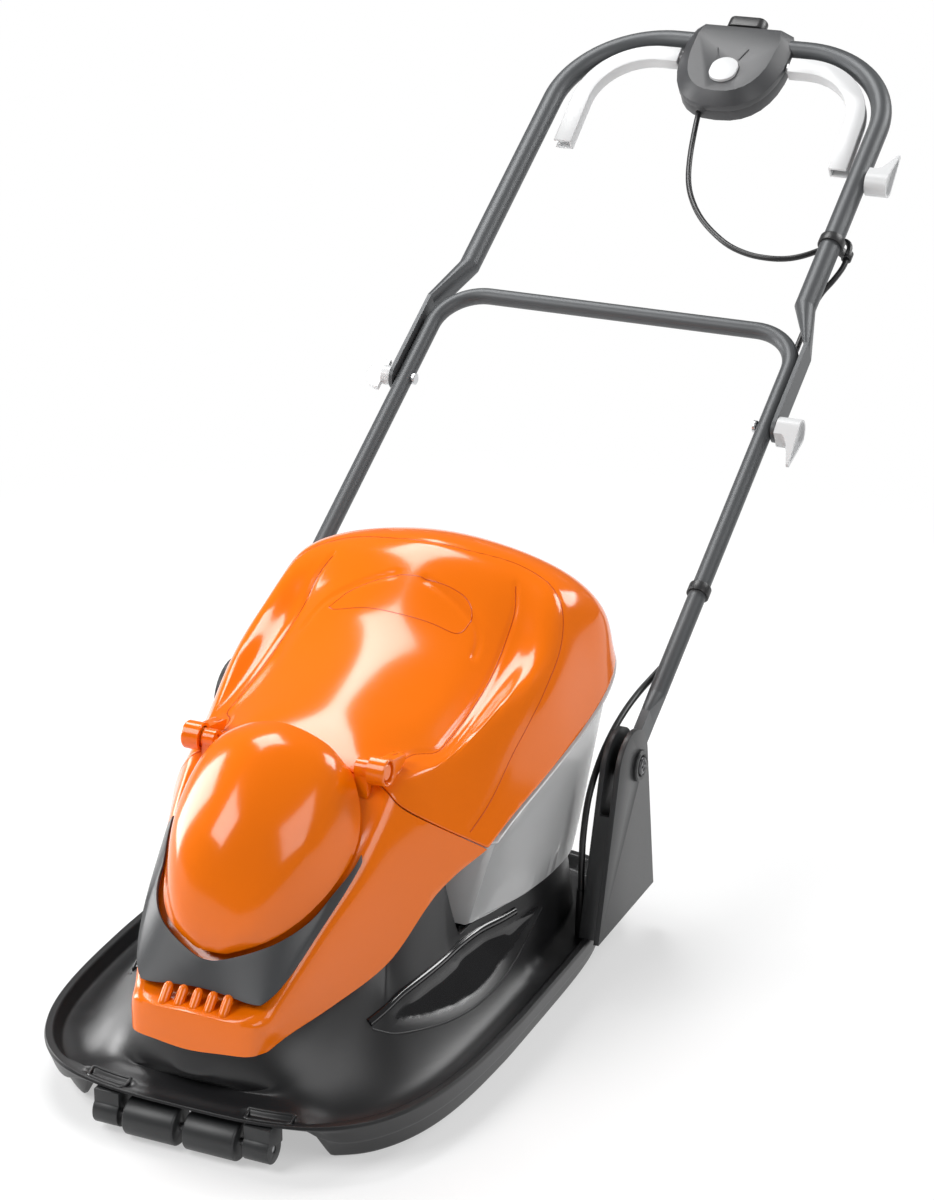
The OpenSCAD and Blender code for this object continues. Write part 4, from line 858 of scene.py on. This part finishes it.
def eased(points: Sequence[Vector], rounds: int) -> list[Vector]:
    """Evens out a line, whose ends stay where they are.

    Args:
        points: The line.
        rounds: Times each point moves to the middle of its neighbours.

    Returns:
        The evened line.
    """
    line = np.array([tuple(p) for p in points])
    for _ in range(rounds):
        line[1:-1] = (line[:-2] + 2 * line[1:-1] + line[2:]) / 4
    return [Vector(p) for p in line]


def nearness(piece: Piece, other: Piece, reach: float, fade: float) -> np.ndarray:
    """Finds the corners of a piece that lie close to another piece.

    Args:
        piece: The piece.
        other: The other piece.
        reach: Distance in millimetres up to which a corner counts as close.
        fade: Distance in millimetres over which that ends.

    Returns:
        1 where it is close, 0 elsewhere.
    """
    tree = surface(other)
    away = np.array([tree.find_nearest(v.co)[3] for v in piece.data.vertices]) / MM
    return smoothstep((reach + fade - away) / fade)


def handle_point(x: float, along: float, above: float) -> Point:
    """Returns a point of the handle's own frame in the mower's frame, in millimetres."""
    y, z = HANDLE_PIVOT
    return (x, y + along * math.cos(HANDLE_RISE) - above * math.sin(HANDLE_RISE),
            z + along * math.sin(HANDLE_RISE) + above * math.cos(HANDLE_RISE))


@dataclass(frozen=True)
class Bead:
    """A round line moulded on a piece.

    Attributes:
        name: Start of its pieces' names.
        radius_mm: Its radius.
        sink_mm: Depth of its middle below the surface.
        steps: Steps from each point of its line to the next.
        finish: Its finish.
        slot: Name of its material slot; not used.
        body: Body that it moves with.
        sides: Faces round it.
    """

    name: str
    radius_mm: float
    sink_mm: float
    steps: int
    finish: Finish
    slot: str
    body: str = "chassis"
    sides: int = 14

    def grow(self, place: Union[str, int], path: Sequence[Vector], closed: bool = False) -> None:
        """Grows one such line.

        Args:
            place: End of the piece's name.
            path: Its path in metres.
            closed: Whether the path closes.
        """
        tree = tube_growth(self.name, self.radius_mm * MM, self.finish, self.sides)
        seat(tree.grow(pathed(f"{self.name}_{place}", path, closed)), self.body, self.finish)


@dataclass
class Deck:
    """The deck with its rollers and their carriers.

    Attributes:
        edge_mm: Width of broken edges.
        levels: Times the moulding is subdivided.
        inside_mm: A point below the front lip.
        lip_mm: Height of the front lip.
        pocket: Line of a pocket in that lip.
        pocket_half_mm: Reach of a pocket to each side of its line.
        pocket_depth_mm: Its depth.
        pocket_slant: Shift of its front corners outward.
        pocket_bead: The line round it.
        hollow_mm: Depth of the polished side panels.
        across: Reach of a panel outward from the mower's middle.
        along: Reach of a panel along the mower.
        facing: Least share by which a panel faces outward and up.
        crest: Upper edge of a panel, as places along the mower and heights.
        crest_drop_mm: Drop from there to the panel.
        crest_fade_mm: Height over which a panel sinks in from above.
        foot: Height of a panel's lower edge, its rise at the ends, its middle and its half length.
        foot_fade_mm: Height over which a panel sinks in from below.
        polish: Rise and start of the polish with the panel's depth.
        crest_line: Line of the polished edge above a panel.
        crest_bead: That edge.
        brim_line: Line of the edge below a panel.
        brim_bead: That edge.
        even_rounds: Times those lines are evened out.
    """

    edge_mm: float = 0.6
    levels: int = 3
    inside_mm: Point = (0, -150, 0)
    lip_mm: float = 45
    pocket: tuple[Plan, ...] = ((54, -236), (66, -235), (80, -233), (92, -230))
    pocket_half_mm: float = 5.5
    pocket_depth_mm: float = 3.0
    pocket_slant: tuple[float, ...] = (-3, 0, 0, 3)
    pocket_bead: Bead = Bead("pocket_bead", 1.5, 0.3, 5, BLACK, "black_plastic")
    hollow_mm: float = 1.7
    across: Plan = (100, 172)
    along: Plan = (-128, 168)
    facing: float = 0.2
    crest: tuple[Plan, ...] = ((-126, 79), (-106, 82), (-85, 84), (-53, 84.5), (0, 84.5), (57, 82.5), (102, 81),
                               (136, 81))
    crest_drop_mm: float = 2
    crest_fade_mm: float = 8
    foot: tuple[float, ...] = (44, 36, 20, 146)
    foot_fade_mm: float = 12
    polish: Plan = (2, 0.7)
    crest_line: tuple[Point, ...] = (
        (110.1, -125.5, 81.1), (114, -106.2, 83.4), (115.2, -84.6, 85.2), (117, -68.5, 85.8), (118.9, -38.9, 85.7),
        (121.2, -12.8, 85.7), (124.4, 13.1, 85.3), (126.8, 41.2, 84.3), (130, 60, 83.8), (136.9, 79, 83),
        (141.5, 102.4, 82.3))
    crest_bead: Bead = Bead("panel_bead", 4.0, 1.2, 6, GLOSS_BLACK, "black_plastic")
    brim_line: tuple[Point, ...] = (
        (113, -126, 76), (119, -118, 70), (127.8, -104.6, 63.8), (143.1, -58.9, 52.3), (150, -25, 47.5),
        (153.1, 1.4, 44.8), (154.5, 40, 44.5), (154.3, 74.3, 47.5), (153.5, 110, 57.5), (151, 140, 70))
    brim_bead: Bead = Bead("panel_brim", 1.1, 0.5, 8, BLACK, "black_plastic", sides=10)
    even_rounds: int = 12

    def dress(self) -> None:
        """Dresses the deck's pieces."""
        self._beads(self._moulding())
        for node in ("roller_left", "roller_right", "roller_blocks"):
            dressed(node, DARK_GREY, Form.CUT, self.edge_mm)
        dressed("roller_axle", STEEL)
        dressed("motor_plate", BLACK, Form.CUT, self.edge_mm)
        dressed("plate_screws", STEEL)
        dressed("cable_gland", RUBBER)

    def _moulding(self) -> Piece:
        """Dresses the deck with its polished side panels and the lip's pockets.

        Returns:
            The dressed deck.
        """
        piece = copied("deck")
        shelled(piece, self.levels)
        pressed(piece, (Groove(self.pocket, self.pocket_half_mm, self.pocket_depth_mm),), self.inside_mm)
        place, normal = corners(piece.data) / MM, corners(piece.data, "normal")
        share = self._panel_share(place, normal)
        moved(piece, (place - normal * (self.hollow_mm * share)[:, None]) * MM)
        rise, start = self.polish
        masked(piece, Mask.POLISH, smoothstep(share * rise - start))
        return seat(piece, "chassis", DECK_BLACK, ("deck",))

    def _panel_share(self, place: np.ndarray, normal: np.ndarray) -> np.ndarray:
        """Finds how far each corner of the deck lies in a side panel.

        Args:
            place: Places of the corners in millimetres.
            normal: Their normals.

        Returns:
            1 in a panel, 0 outside.
        """
        x, y, z = np.abs(place[:, 0]), place[:, 1], place[:, 2]
        crest = np.interp(y, *zip(*self.crest)) - self.crest_drop_mm
        low, rise, middle, half = self.foot
        foot = low + rise * ((y - middle) / half) ** 2
        outer = normal[:, 0] * np.sign(place[:, 0]) + normal[:, 2] > self.facing
        for value, (least, most) in ((x, self.across), (y, self.along)):
            outer &= (value > least) & (value < most)
        return smoothstep((z - foot) / self.foot_fade_mm) * smoothstep((crest - z) / self.crest_fade_mm) * outer

    def _beads(self, piece: Piece) -> None:
        """Grows the lines round the side panels and the pockets.

        Args:
            piece: The dressed deck.
        """
        half = self.pocket_half_mm
        loop = [(x, y + half, self.lip_mm) for x, y in self.pocket]
        loop += [(x + shift, y - half, self.lip_mm) for (x, y), shift in zip(self.pocket[::-1], self.pocket_slant)]
        for sign, side in SIDES:
            for bead, line in ((self.crest_bead, self.crest_line), (self.brim_bead, self.brim_line)):
                points = [(sign * x, y, z) for x, y, z in spline(line, bead.steps)]
                bead.grow(side, eased(laid(piece, points, bead.sink_mm), self.even_rounds))
            bead = self.pocket_bead
            ring = spline([(sign * x, y, z) for x, y, z in loop + loop[:1]], bead.steps)[:-1]
            bead.grow(side, laid(piece, ring, bead.sink_mm), closed=True)


@dataclass
class Covers:
    """The orange covers, their trim and the grass box.

    Attributes:
        levels: Times a cover is subdivided.
        lid_levels: Times the lid is subdivided.
        side_fold: Fold along each side of the lid.
        rim_fold: Fold round the lid's rear.
        hand_fold: Fold before the lid's hand hold.
        hand_line: Line round that hold.
        line: The fine lines moulded on the lid, in a darker orange that is painted shade of narrow grooves.
        inside_mm: A point inside the grass box.
        trim_painted_highlight_band: Reach and fade, from the pod cover, of the pale band on the trim: a painted
            highlight where its edge catches the light.
        box_band: Reach and fade of the pale band on the grass box, from the lid.
        pin_edge_mm: Width of the hinge pins' broken edges.
        hinge_mm: A point on the lid's hinge axis.
        collar: Profile of the collar round a lug of the lid.
        pin_head: Profile of a hinge pin's head.
        arch: Right half of the wall that closes the pod's rear, across and up.
        arch_mm: Place of that wall along the mower.
        arch_wall_mm: Its thickness.
        fin_count: Fins on the nose.
        fin_step_mm: Distance from one fin to the next.
        fin_mm: Radius of a fin.
        fin_ends: Lower and upper end of the middle fin in metres.
    """

    levels: int = 2
    lid_levels: int = 3
    side_fold: Groove = Groove(((82, -21), (86, 8), (99, 28), (101, 50), (102, 90), (102, 132), (99, 176), (97, 199),
                                (90, 217)), 4.5, 1.2)
    rim_fold: Groove = Groove(((138, 12), (141, 47), (143, 84), (146, 119), (147, 149), (144, 190), (136, 216),
                               (122, 230), (105, 238), (77, 240), (38, 232), (0, 229)), 3.5, 0.8)
    hand_fold: Groove = Groove(((83, 142), (81, 156), (72, 170), (47, 181), (15, 189)), 5, 1.6)
    hand_line: tuple[Plan, ...] = ((-66, 160), (-52, 175), (-28, 185), (0, 189), (28, 190), (52, 188), (64, 180),
                                   (67, 167), (61, 154), (38, 153), (4, 152), (-29, 155), (-57, 156), (-66, 160))
    line: Bead = Bead("lid_groove_shade_line", 0.7, 0.45, 10, ORANGE_GROOVE_SHADE, "orange_plastic", "lid", 8)
    inside_mm: Point = (0, 150, 180)
    trim_painted_highlight_band: Plan = (3.2, 1.2)
    box_band: Plan = (9, 1.5)
    pin_edge_mm: float = 0.4
    hinge_mm: Point = (0, -51.97, 271.04)
    collar: tuple[Plan, ...] = ((12, 78), (12, 92.6), (11.2, 93.8), (10.2, 93.8), (9.4, 93), (9.4, 78))
    pin_head: tuple[Plan, ...] = ((0, 86), (3.9, 86), (3.9, 90.3), (6.8, 90.3), (6.8, 91.6), (6.2, 92.2), (0, 92.2))
    arch: tuple[Plan, ...] = ((0, 299.7), (8, 299.1), (16.3, 297.5), (24.5, 295.1), (32.1, 292.2), (38.7, 289.1),
                              (43.8, 285.7), (48, 281.7), (51.8, 277.2), (55.5, 272.4), (59.5, 267.8), (61.5, 264),
                              (61.5, 256))
    arch_mm: float = -60.8
    arch_wall_mm: float = 2
    fin_count: int = 5
    fin_step_mm: float = 13.5
    fin_mm: float = 4.3
    fin_ends: tuple[Point, Point] = ((0, -0.2245, 0.1135), (0, -0.2085, 0.1295))

    def dress(self) -> None:
        """Dresses the covers."""
        dressed("hood", ORANGE, Form.SHELL, self.levels)
        pod = dressed("pod_cover", ORANGE, Form.SHELL, self.levels)
        lid = self._lid()
        # The trim's pale band is a painted highlight
        self._banded("cover_trim", TRIM_PAINTED_HIGHLIGHT, pod, self.trim_painted_highlight_band)
        self._banded("grass_box", SMOKE, lid, self.box_band)
        dressed("lid_hinge_pins", ORANGE, Form.CUT, self.pin_edge_mm)
        self._hinges()
        outline = [(x, self.arch_mm, z) for x, z in mirrored(reversed(self.arch)) + self.arch[1:]]
        wall = plate("pod_bulkhead", outline, (0, -self.arch_wall_mm, 0))
        seat(wall, "chassis", ORANGE)
        row = fin_growth("nose_fins", self.fin_count, self.fin_step_mm * MM, self.fin_mm * MM, self.fin_ends, ORANGE)
        seat(row.grow(pathed("nose_fins", [(0, 0, 0)])), "chassis", ORANGE)

    def _lid(self) -> Piece:
        """Dresses the lid with its folds and fine lines.

        Returns:
            The dressed lid.
        """
        lid = copied("grass_box_lid")
        shelled(lid, self.lid_levels)
        pressed(lid, (self.side_fold, self.rim_fold, self.hand_fold), self.inside_mm)
        seat(lid, "lid", ORANGE, ("grass_box_lid",))
        side, rim = self.side_fold.line, self.rim_fold.line
        # The fine lines are thin beads in a darker orange: painted shade of the grooves they stand for
        for place, line in enumerate((mirrored(side), side, self.hand_line, mirrored(rim) + rim[-2::-1])):
            self.line.grow(place, laid(lid, spline(line, self.line.steps), self.line.sink_mm))
        return lid

    def _banded(self, node: str, finish: Finish, other: Piece, band: Plan) -> None:
        """Dresses a shell with a pale band where it lies close to another piece; on the trim that band is a painted
        highlight.

        Args:
            node: Name of the solid.
            finish: Its finish.
            other: The other piece.
            band: Reach and fade of the band in millimetres.
        """
        piece = copied(node)
        shelled(piece, self.levels)
        masked(piece, Mask.BAND, nearness(piece, other, *band))
        seat(piece, "chassis", finish, (node,))

    def _hinges(self) -> None:
        """Sets the collars round the lid's lugs and the pins' heads inside them."""
        for sign, side in SIDES:
            for name, profile, body in (("hinge_collar_", self.collar, "lid"),
                                        ("hinge_pin_head_", self.pin_head, "chassis")):
                seat(turned(name + side, profile, self.hinge_mm, (sign, 0, 0)), body, ORANGE)


@dataclass
class Handle:
    """The folding handle with its brackets, knobs, hook and clips.

    Attributes:
        edge_mm: Width of the brackets' broken edges.
        small_edge_mm: Width of the bolts' and clips' broken edges.
        bolt_mm: Outer face of a pivot bolt's head, on the mower's right side.
        head_mm: Radius, height and recess of that head.
        washer: Profile of the washer round it.
    """

    edge_mm: float = 0.7
    small_edge_mm: float = 0.4
    bolt_mm: Point = (204.4, 240, 177)
    head_mm: Point = (9.2, 2.6, 2.6)
    washer: tuple[Plan, ...] = ((9.7, 202.3), (14.5, 202.3), (14.5, 204.6), (13.4, 205.8), (10.8, 205.8),
                                (9.7, 204.8))

    def dress(self) -> None:
        """Dresses the handle."""
        for node in ("lower_handle", "upper_handle"):
            dressed(node, TUBE)
        for node in ("handle_bracket_left", "handle_bracket_right"):
            dressed(node, DARK_GREY, Form.CUT, self.edge_mm)
        for node in ("knob_left", "knob_right", "cable_hook"):
            dressed(node, PALE)
        for node, finish in (("pivot_bolts", DARK_STEEL), ("pivot_nuts", STEEL), ("joint_bolts", STEEL),
                             ("cable_clip_upper", BLACK), ("cable_clip_lower", BLACK)):
            dressed(node, finish, Form.CUT, self.small_edge_mm)
        self._pivots()

    def _pivots(self) -> None:
        """Sets the washers and the cross-recessed heads on the pivot bolts."""
        x, y, z = (value * MM for value in self.bolt_mm)
        heads = pathed("pivot_bolt_recesses", [(x, y, z), (-x, y, z)])
        store = heads.data.attributes.new("axis", "FLOAT_VECTOR", "POINT")
        store.data.foreach_set("vector", [1, 0, 0, -1, 0, 0])
        for sign, side in SIDES:
            washer = turned("pivot_washer_" + side, self.washer, (0, *self.bolt_mm[1:]), (sign, 0, 0))
            seat(washer, "chassis", DARK_GREY)
        cross = cross_head_growth("cross_heads", *(size * MM for size in self.head_mm), DARK_STEEL)
        seat(cross.grow(heads), "chassis", DARK_STEEL)


@dataclass
class Switch:
    """The switch box with its lever, button and works.

    Attributes:
        edge_mm: Width of broken edges.
        lever_edge_mm: Width of the lever's broken edges.
        works_edge_mm: Width of the microswitch's broken edges.
        ridge: The two small ridges above the button.
        ridge_ends: Their ends.
        spring_foot: Foot of the button's spring, in the handle's frame; not used.
        spring_keep: Share of its length that the spring keeps when it is pressed; not used.
    """

    edge_mm: float = 1.2
    lever_edge_mm: float = 0.8
    works_edge_mm: float = 0.6
    ridge: Bead = Bead("switch_ridge", 1.1, 0.2, 8, GREY, "grey_plastic", "upper_handle_body")
    ridge_ends: tuple[tuple[Point, Point], ...] = (((-17.5, 1016.5, 664.6), (-11, 1001.3, 655.1)),
                                                   ((17, 1018, 665.5), (11, 1003, 656.2)))
    spring_foot: Point = (0, 883, 6)
    spring_keep: float = 0.5

    def dress(self) -> None:
        """Dresses the switch box."""
        top = dressed("switch_box_upper", GREY, Form.CUT, self.edge_mm)
        dressed("switch_box_lower", GREY, Form.CUT, self.edge_mm)
        for place, ends in enumerate(self.ridge_ends):
            self.ridge.grow(place, laid(top, spline(ends, self.ridge.steps), self.ridge.sink_mm))
        dressed("switch_lever", PALE, Form.CUT, self.lever_edge_mm)
        dressed("lock_button", PALE, Form.CUT, self.edge_mm)
        dressed("cable_inlet", BLACK, Form.CUT, self.edge_mm)
        dressed("microswitch", BLACK, Form.CUT, self.works_edge_mm)
        for node in ("switch_screws", "lever_spring"):
            dressed(node, STEEL)
        spring = dressed("button_spring", STEEL)
        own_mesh(spring)


@dataclass
class Drive:
    """The motor, the belt drive, the fan and the blade.

    Attributes:
        edge_mm: Width of broken edges.
        groups: The finishes and the solids that have them.
    """

    edge_mm: float = 0.5
    groups: tuple[tuple[Finish, tuple[str, ...]], ...] = (
        (STEEL, ("motor_bracket", "motor_casing", "motor_bearings", "motor_shaft", "motor_pulley", "bearing_housing",
                 "spindle_bearings", "spindle", "spindle_pulley", "blade", "blade_bolt")),
        (IRON, ("stator", "armature")),
        (BLACK, ("impeller", "blade_spacers")),
    )

    def dress(self) -> None:
        """Dresses the drive."""
        for finish, nodes in self.groups:
            for node in nodes:
                dressed(node, finish, Form.CUT, self.edge_mm)
        dressed("drive_belt", RUBBER)


@dataclass
class Lead:
    """The lead from the switch box to the deck, in four stretches.

    Attributes:
        diameter_mm: Thickness of the lead.
        sides: Faces round it.
        loop: Points of the hanging stretch at the switch box, in the handle's frame.
        joint: Places along the handle of the stretch that crosses the middle joint.
        joint_bend: Places along the handle that bound that stretch's bend; not used.
        run: Places along the handle of the stretch on the lower tube.
        sag: Points where the lead leaves the lower tube, in the handle's frame.
        drop: Points from there down to the deck, in the mower's frame.
        base_bend: Point of the drop, and place along the handle, that bound the last stretch's bend; not used.
        beside: Offset of the straight stretches from the handle's middle line.
        steps: Steps from each point to the next, for each stretch.
    """

    diameter_mm: float = 6
    sides: int = 20
    loop: tuple[Point, ...] = (
        (-19, 841, -8), (-15, 815, -9), (-7, 775, -9), (2, 742, -10), (14, 716, -10), (31, 692, -11), (51, 673, -12),
        (75, 656, -12), (99, 648, -13), (121, 646, -13), (138, 649, -14), (153, 655, -14), (167, 666, -15),
        (179, 679, -16), (189, 685, -16), (197, 679, -16), (199, 664, -16), (199, 648, -16), (195, 628, -15),
        (189, 610, -15), (186, 592, -15), (186, 574, -15), (186, 556, -15))
    joint: tuple[float, ...] = (556, 520, 480, 450, 420, 390, 360, 340)
    joint_bend: Plan = (345, 550)
    run: tuple[float, ...] = (340, 300, 250, 202, 160)
    sag: tuple[Point, ...] = ((186, 150, -15), (186, 140, -15), (184.5, 124, -11.5), (181, 102, -5))
    drop: tuple[Point, ...] = ((177, 306, 219), (176, 272, 213), (176, 238, 203), (176, 209, 187), (175.5, 187, 162),
                               (175.5, 176, 130), (175.5, 174, 104), (175.5, 174, 86), (175.5, 174, 72),
                               (175.5, 174, 60))
    base_bend: tuple[int, float] = (4, 165)
    beside: Plan = (186, -15)
    steps: tuple[int, ...] = (4, 6, 2, 4)

    def dress(self) -> None:
        """Grows the four stretches; the upper and the lower ride on their handle tubes, the other two stay where they
        are.
        """
        x, below = self.beside
        loose, bent, straight, falling = self.steps
        upper = self._stretch("lead_upper", [handle_point(*p) for p in self.loop], loose)
        middle = self._stretch("lead_middle", [handle_point(x, place, below) for place in self.joint], bent)
        lower = self._stretch("lead_lower", [handle_point(x, place, below) for place in self.run], straight)
        route = [handle_point(x, self.run[-1], below)] + [handle_point(*p) for p in self.sag] + list(self.drop)
        base = self._stretch("lead_base", route, falling)
        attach(upper, "upper_handle_body")
        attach(lower, "lower_handle_body")
        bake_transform(middle)
        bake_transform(base)

    def _stretch(self, node: str, points: Sequence[Point], steps: int) -> Piece:
        """Args:
            node: Name of the stretch in the frame.
            points: Points on its route in millimetres.
            steps: Steps from each point to the next.

        Returns:
            The new piece.
        """
        path = spline(points, steps) * MM
        tree = tube_growth(node, self.diameter_mm / 2 * MM, RUBBER, self.sides)
        piece = tree.grow(pathed(node + "_dressed", path))
        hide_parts(node)
        return piece


@dataclass(frozen=True)
class Lamp:
    """A soft box that faces the mower.

    Attributes:
        name: Its name.
        place: Its place in metres.
        size: Its width and height in metres.
        power: Its power in watts.
        aim: The point that it faces, in metres.
    """

    name: str
    place: Point
    size: Plan
    power: float
    aim: Point = (0, 0.2, 0.2)

    def hang(self) -> None:
        """Hangs the lamp."""
        data = bpy.data.lights.new(self.name, "AREA")
        data.shape = "RECTANGLE"
        data.size, data.size_y = self.size
        data.energy = self.power
        lamp = linked(self.name, data)
        lamp.location = self.place
        lamp.rotation_euler = (Vector(self.aim) - Vector(self.place)).to_track_quat("-Z", "Y").to_euler()


@dataclass
class Studio:
    """The floor, the lights and the camera.

    Attributes:
        eye_mm: Place of the camera.
        azimuth: Its turn to the mower's right, in degrees.
        elevation: Its rise, in degrees.
        roll: Its roll, in degrees.
        lens: Its focal length.
        sensor: Width of its sensor.
        far: Distance to which it sees, in metres.
        floor_size: Length of the floor's sides in metres.
        floor_z: Height of the floor in metres.
        floor_white: Lightness of the floor.
        floor_roughness: Its roughness.
        floor_middle: Point of the floor round which it is darkest, in metres.
        floor_fade: Distances from there over which the floor goes over into white, in metres.
        floor_least: Share of white in that middle.
        sky: Strength of the sky's light.
        lamps: The lamps.
    """

    eye_mm: Point = (1049.5, -2059.5, 1301.3)
    azimuth: float = 23.85
    elevation: float = 21.56
    roll: float = 0.4
    lens: float = 90.0
    sensor: float = 36
    far: float = 60
    floor_size: float = 30.0
    floor_z: float = -0.5 * MM
    floor_white: float = 0.9
    floor_roughness: float = 0.8
    floor_middle: Plan = (0, 0.25)
    floor_fade: Plan = (0.45, 1.3)
    floor_least: float = 0.45
    sky: float = 0.15
    lamps: tuple[Lamp, ...] = (
        Lamp("key", (-1.5, -1.7, 2.6), (1.6, 1.6), 60),
        Lamp("over", (-0.9, 1.07, 2.4), (1.1, 1.1), 38),
        Lamp("left", (-2.2, 0.25, 0.75), (0.8, 1.5), 38),
        Lamp("rear", (1.35, 2.15, 1.75), (0.9, 1.1), 28),
        Lamp("fill", (2.4, -0.8, 1.9), (1.6, 1.6), 28),
    )

    def build(self) -> None:
        """Builds the studio."""
        self._camera()
        self._floor()
        self._world()
        for lamp in self.lamps:
            lamp.hang()
        bpy.context.scene.view_settings.view_transform = "Standard"

    def _camera(self) -> None:
        """Places the camera at the photograph's angle."""
        turn, rise, roll = (math.radians(v) for v in (self.azimuth, self.elevation, self.roll))
        back = Vector((math.sin(turn) * math.cos(rise), -math.cos(turn) * math.cos(rise), math.sin(rise)))
        right = Vector((math.cos(turn), math.sin(turn), 0))
        up = back.cross(right)
        across = math.cos(roll) * right + math.sin(roll) * up
        above = -math.sin(roll) * right + math.cos(roll) * up
        data = bpy.data.cameras.new("camera")
        data.lens = self.lens
        data.sensor_width = self.sensor
        data.clip_end = self.far
        place = Matrix((across, above, back)).transposed().to_4x4()
        place.translation = Vector(self.eye_mm) * MM
        camera = linked("camera", data)
        camera.matrix_world = place
        bpy.context.scene.camera = camera

    def _floor(self) -> None:
        """Lays the pale floor, which goes over into white away from the mower."""
        half = self.floor_size / 2
        corners_xy = ((-half, -half), (half, -half), (half, half), (-half, half))
        floor = shaped("floor", [(*corner, self.floor_z) for corner in corners_xy], faces=[(0, 1, 2, 3)])
        material = bpy.data.materials.new("pale_floor")
        material.use_nodes = True
        tree = material.node_tree
        shader = tree.nodes["Principled BSDF"]
        fed(tree, shader, {"Base Color": (*(self.floor_white,) * 3, 1), "Roughness": self.floor_roughness})
        place = added(tree, "ShaderNodeTexCoord").outputs["Object"]
        reach = added(tree, "ShaderNodeVectorMath", {0: place, 1: (*self.floor_middle, self.floor_z)},
                      operation="DISTANCE")
        near, far = self.floor_fade
        away = added(tree, "ShaderNodeMapRange", {"Value": reach.outputs["Value"], "From Min": near, "From Max": far,
                                                  "To Min": self.floor_least, "To Max": 1.0},
                     interpolation_type="SMOOTHSTEP")
        share = added(tree, "ShaderNodeMath", {0: away.outputs["Result"], 1: self._seen(tree)}, operation="MULTIPLY")
        white = added(tree, "ShaderNodeEmission")
        mix = added(tree, "ShaderNodeMixShader", {0: share.outputs["Value"], 1: shader.outputs["BSDF"],
                                                  2: white.outputs["Emission"]})
        fed(tree, tree.nodes["Material Output"], {"Surface": mix.outputs["Shader"]})
        floor.data.materials.append(material)

    @staticmethod
    def _seen(tree: Tree) -> Socket:
        """Finds what is seen straight, in a reflection or through a clear wall.

        Args:
            tree: The floor's tree.

        Returns:
            1 for such a view, 0 for other light.
        """
        ray = added(tree, "ShaderNodeLightPath").outputs
        seen = ray["Is Camera Ray"]
        for name in ("Is Glossy Ray", "Is Transmission Ray"):
            seen = added(tree, "ShaderNodeMath", {0: seen, 1: ray[name]}, operation="MAXIMUM").outputs["Value"]
        return seen

    def _world(self) -> None:
        """Sets an even sky that looks white to the camera."""
        world = bpy.data.worlds.new("studio")
        world.use_nodes = True
        tree = world.node_tree
        straight = added(tree, "ShaderNodeLightPath").outputs["Is Camera Ray"]
        fed(tree, tree.nodes["Background"], {"Color": (1, 1, 1, 1), "Strength": ranged(tree, straight, self.sky, 1.0)})
        bpy.context.scene.world = world


def main() -> None:
    """Builds the studio and dresses each group of pieces in order."""
    logging.basicConfig(level=logging.INFO, format="%(message)s")
    Studio().build()
    for group in (Deck(), Covers(), Handle(), Switch(), Drive(), Lead()):
        LOG.info("dressing %s", type(group).__name__.lower())
        group.dress()


if __name__ == "__main__":
    main()
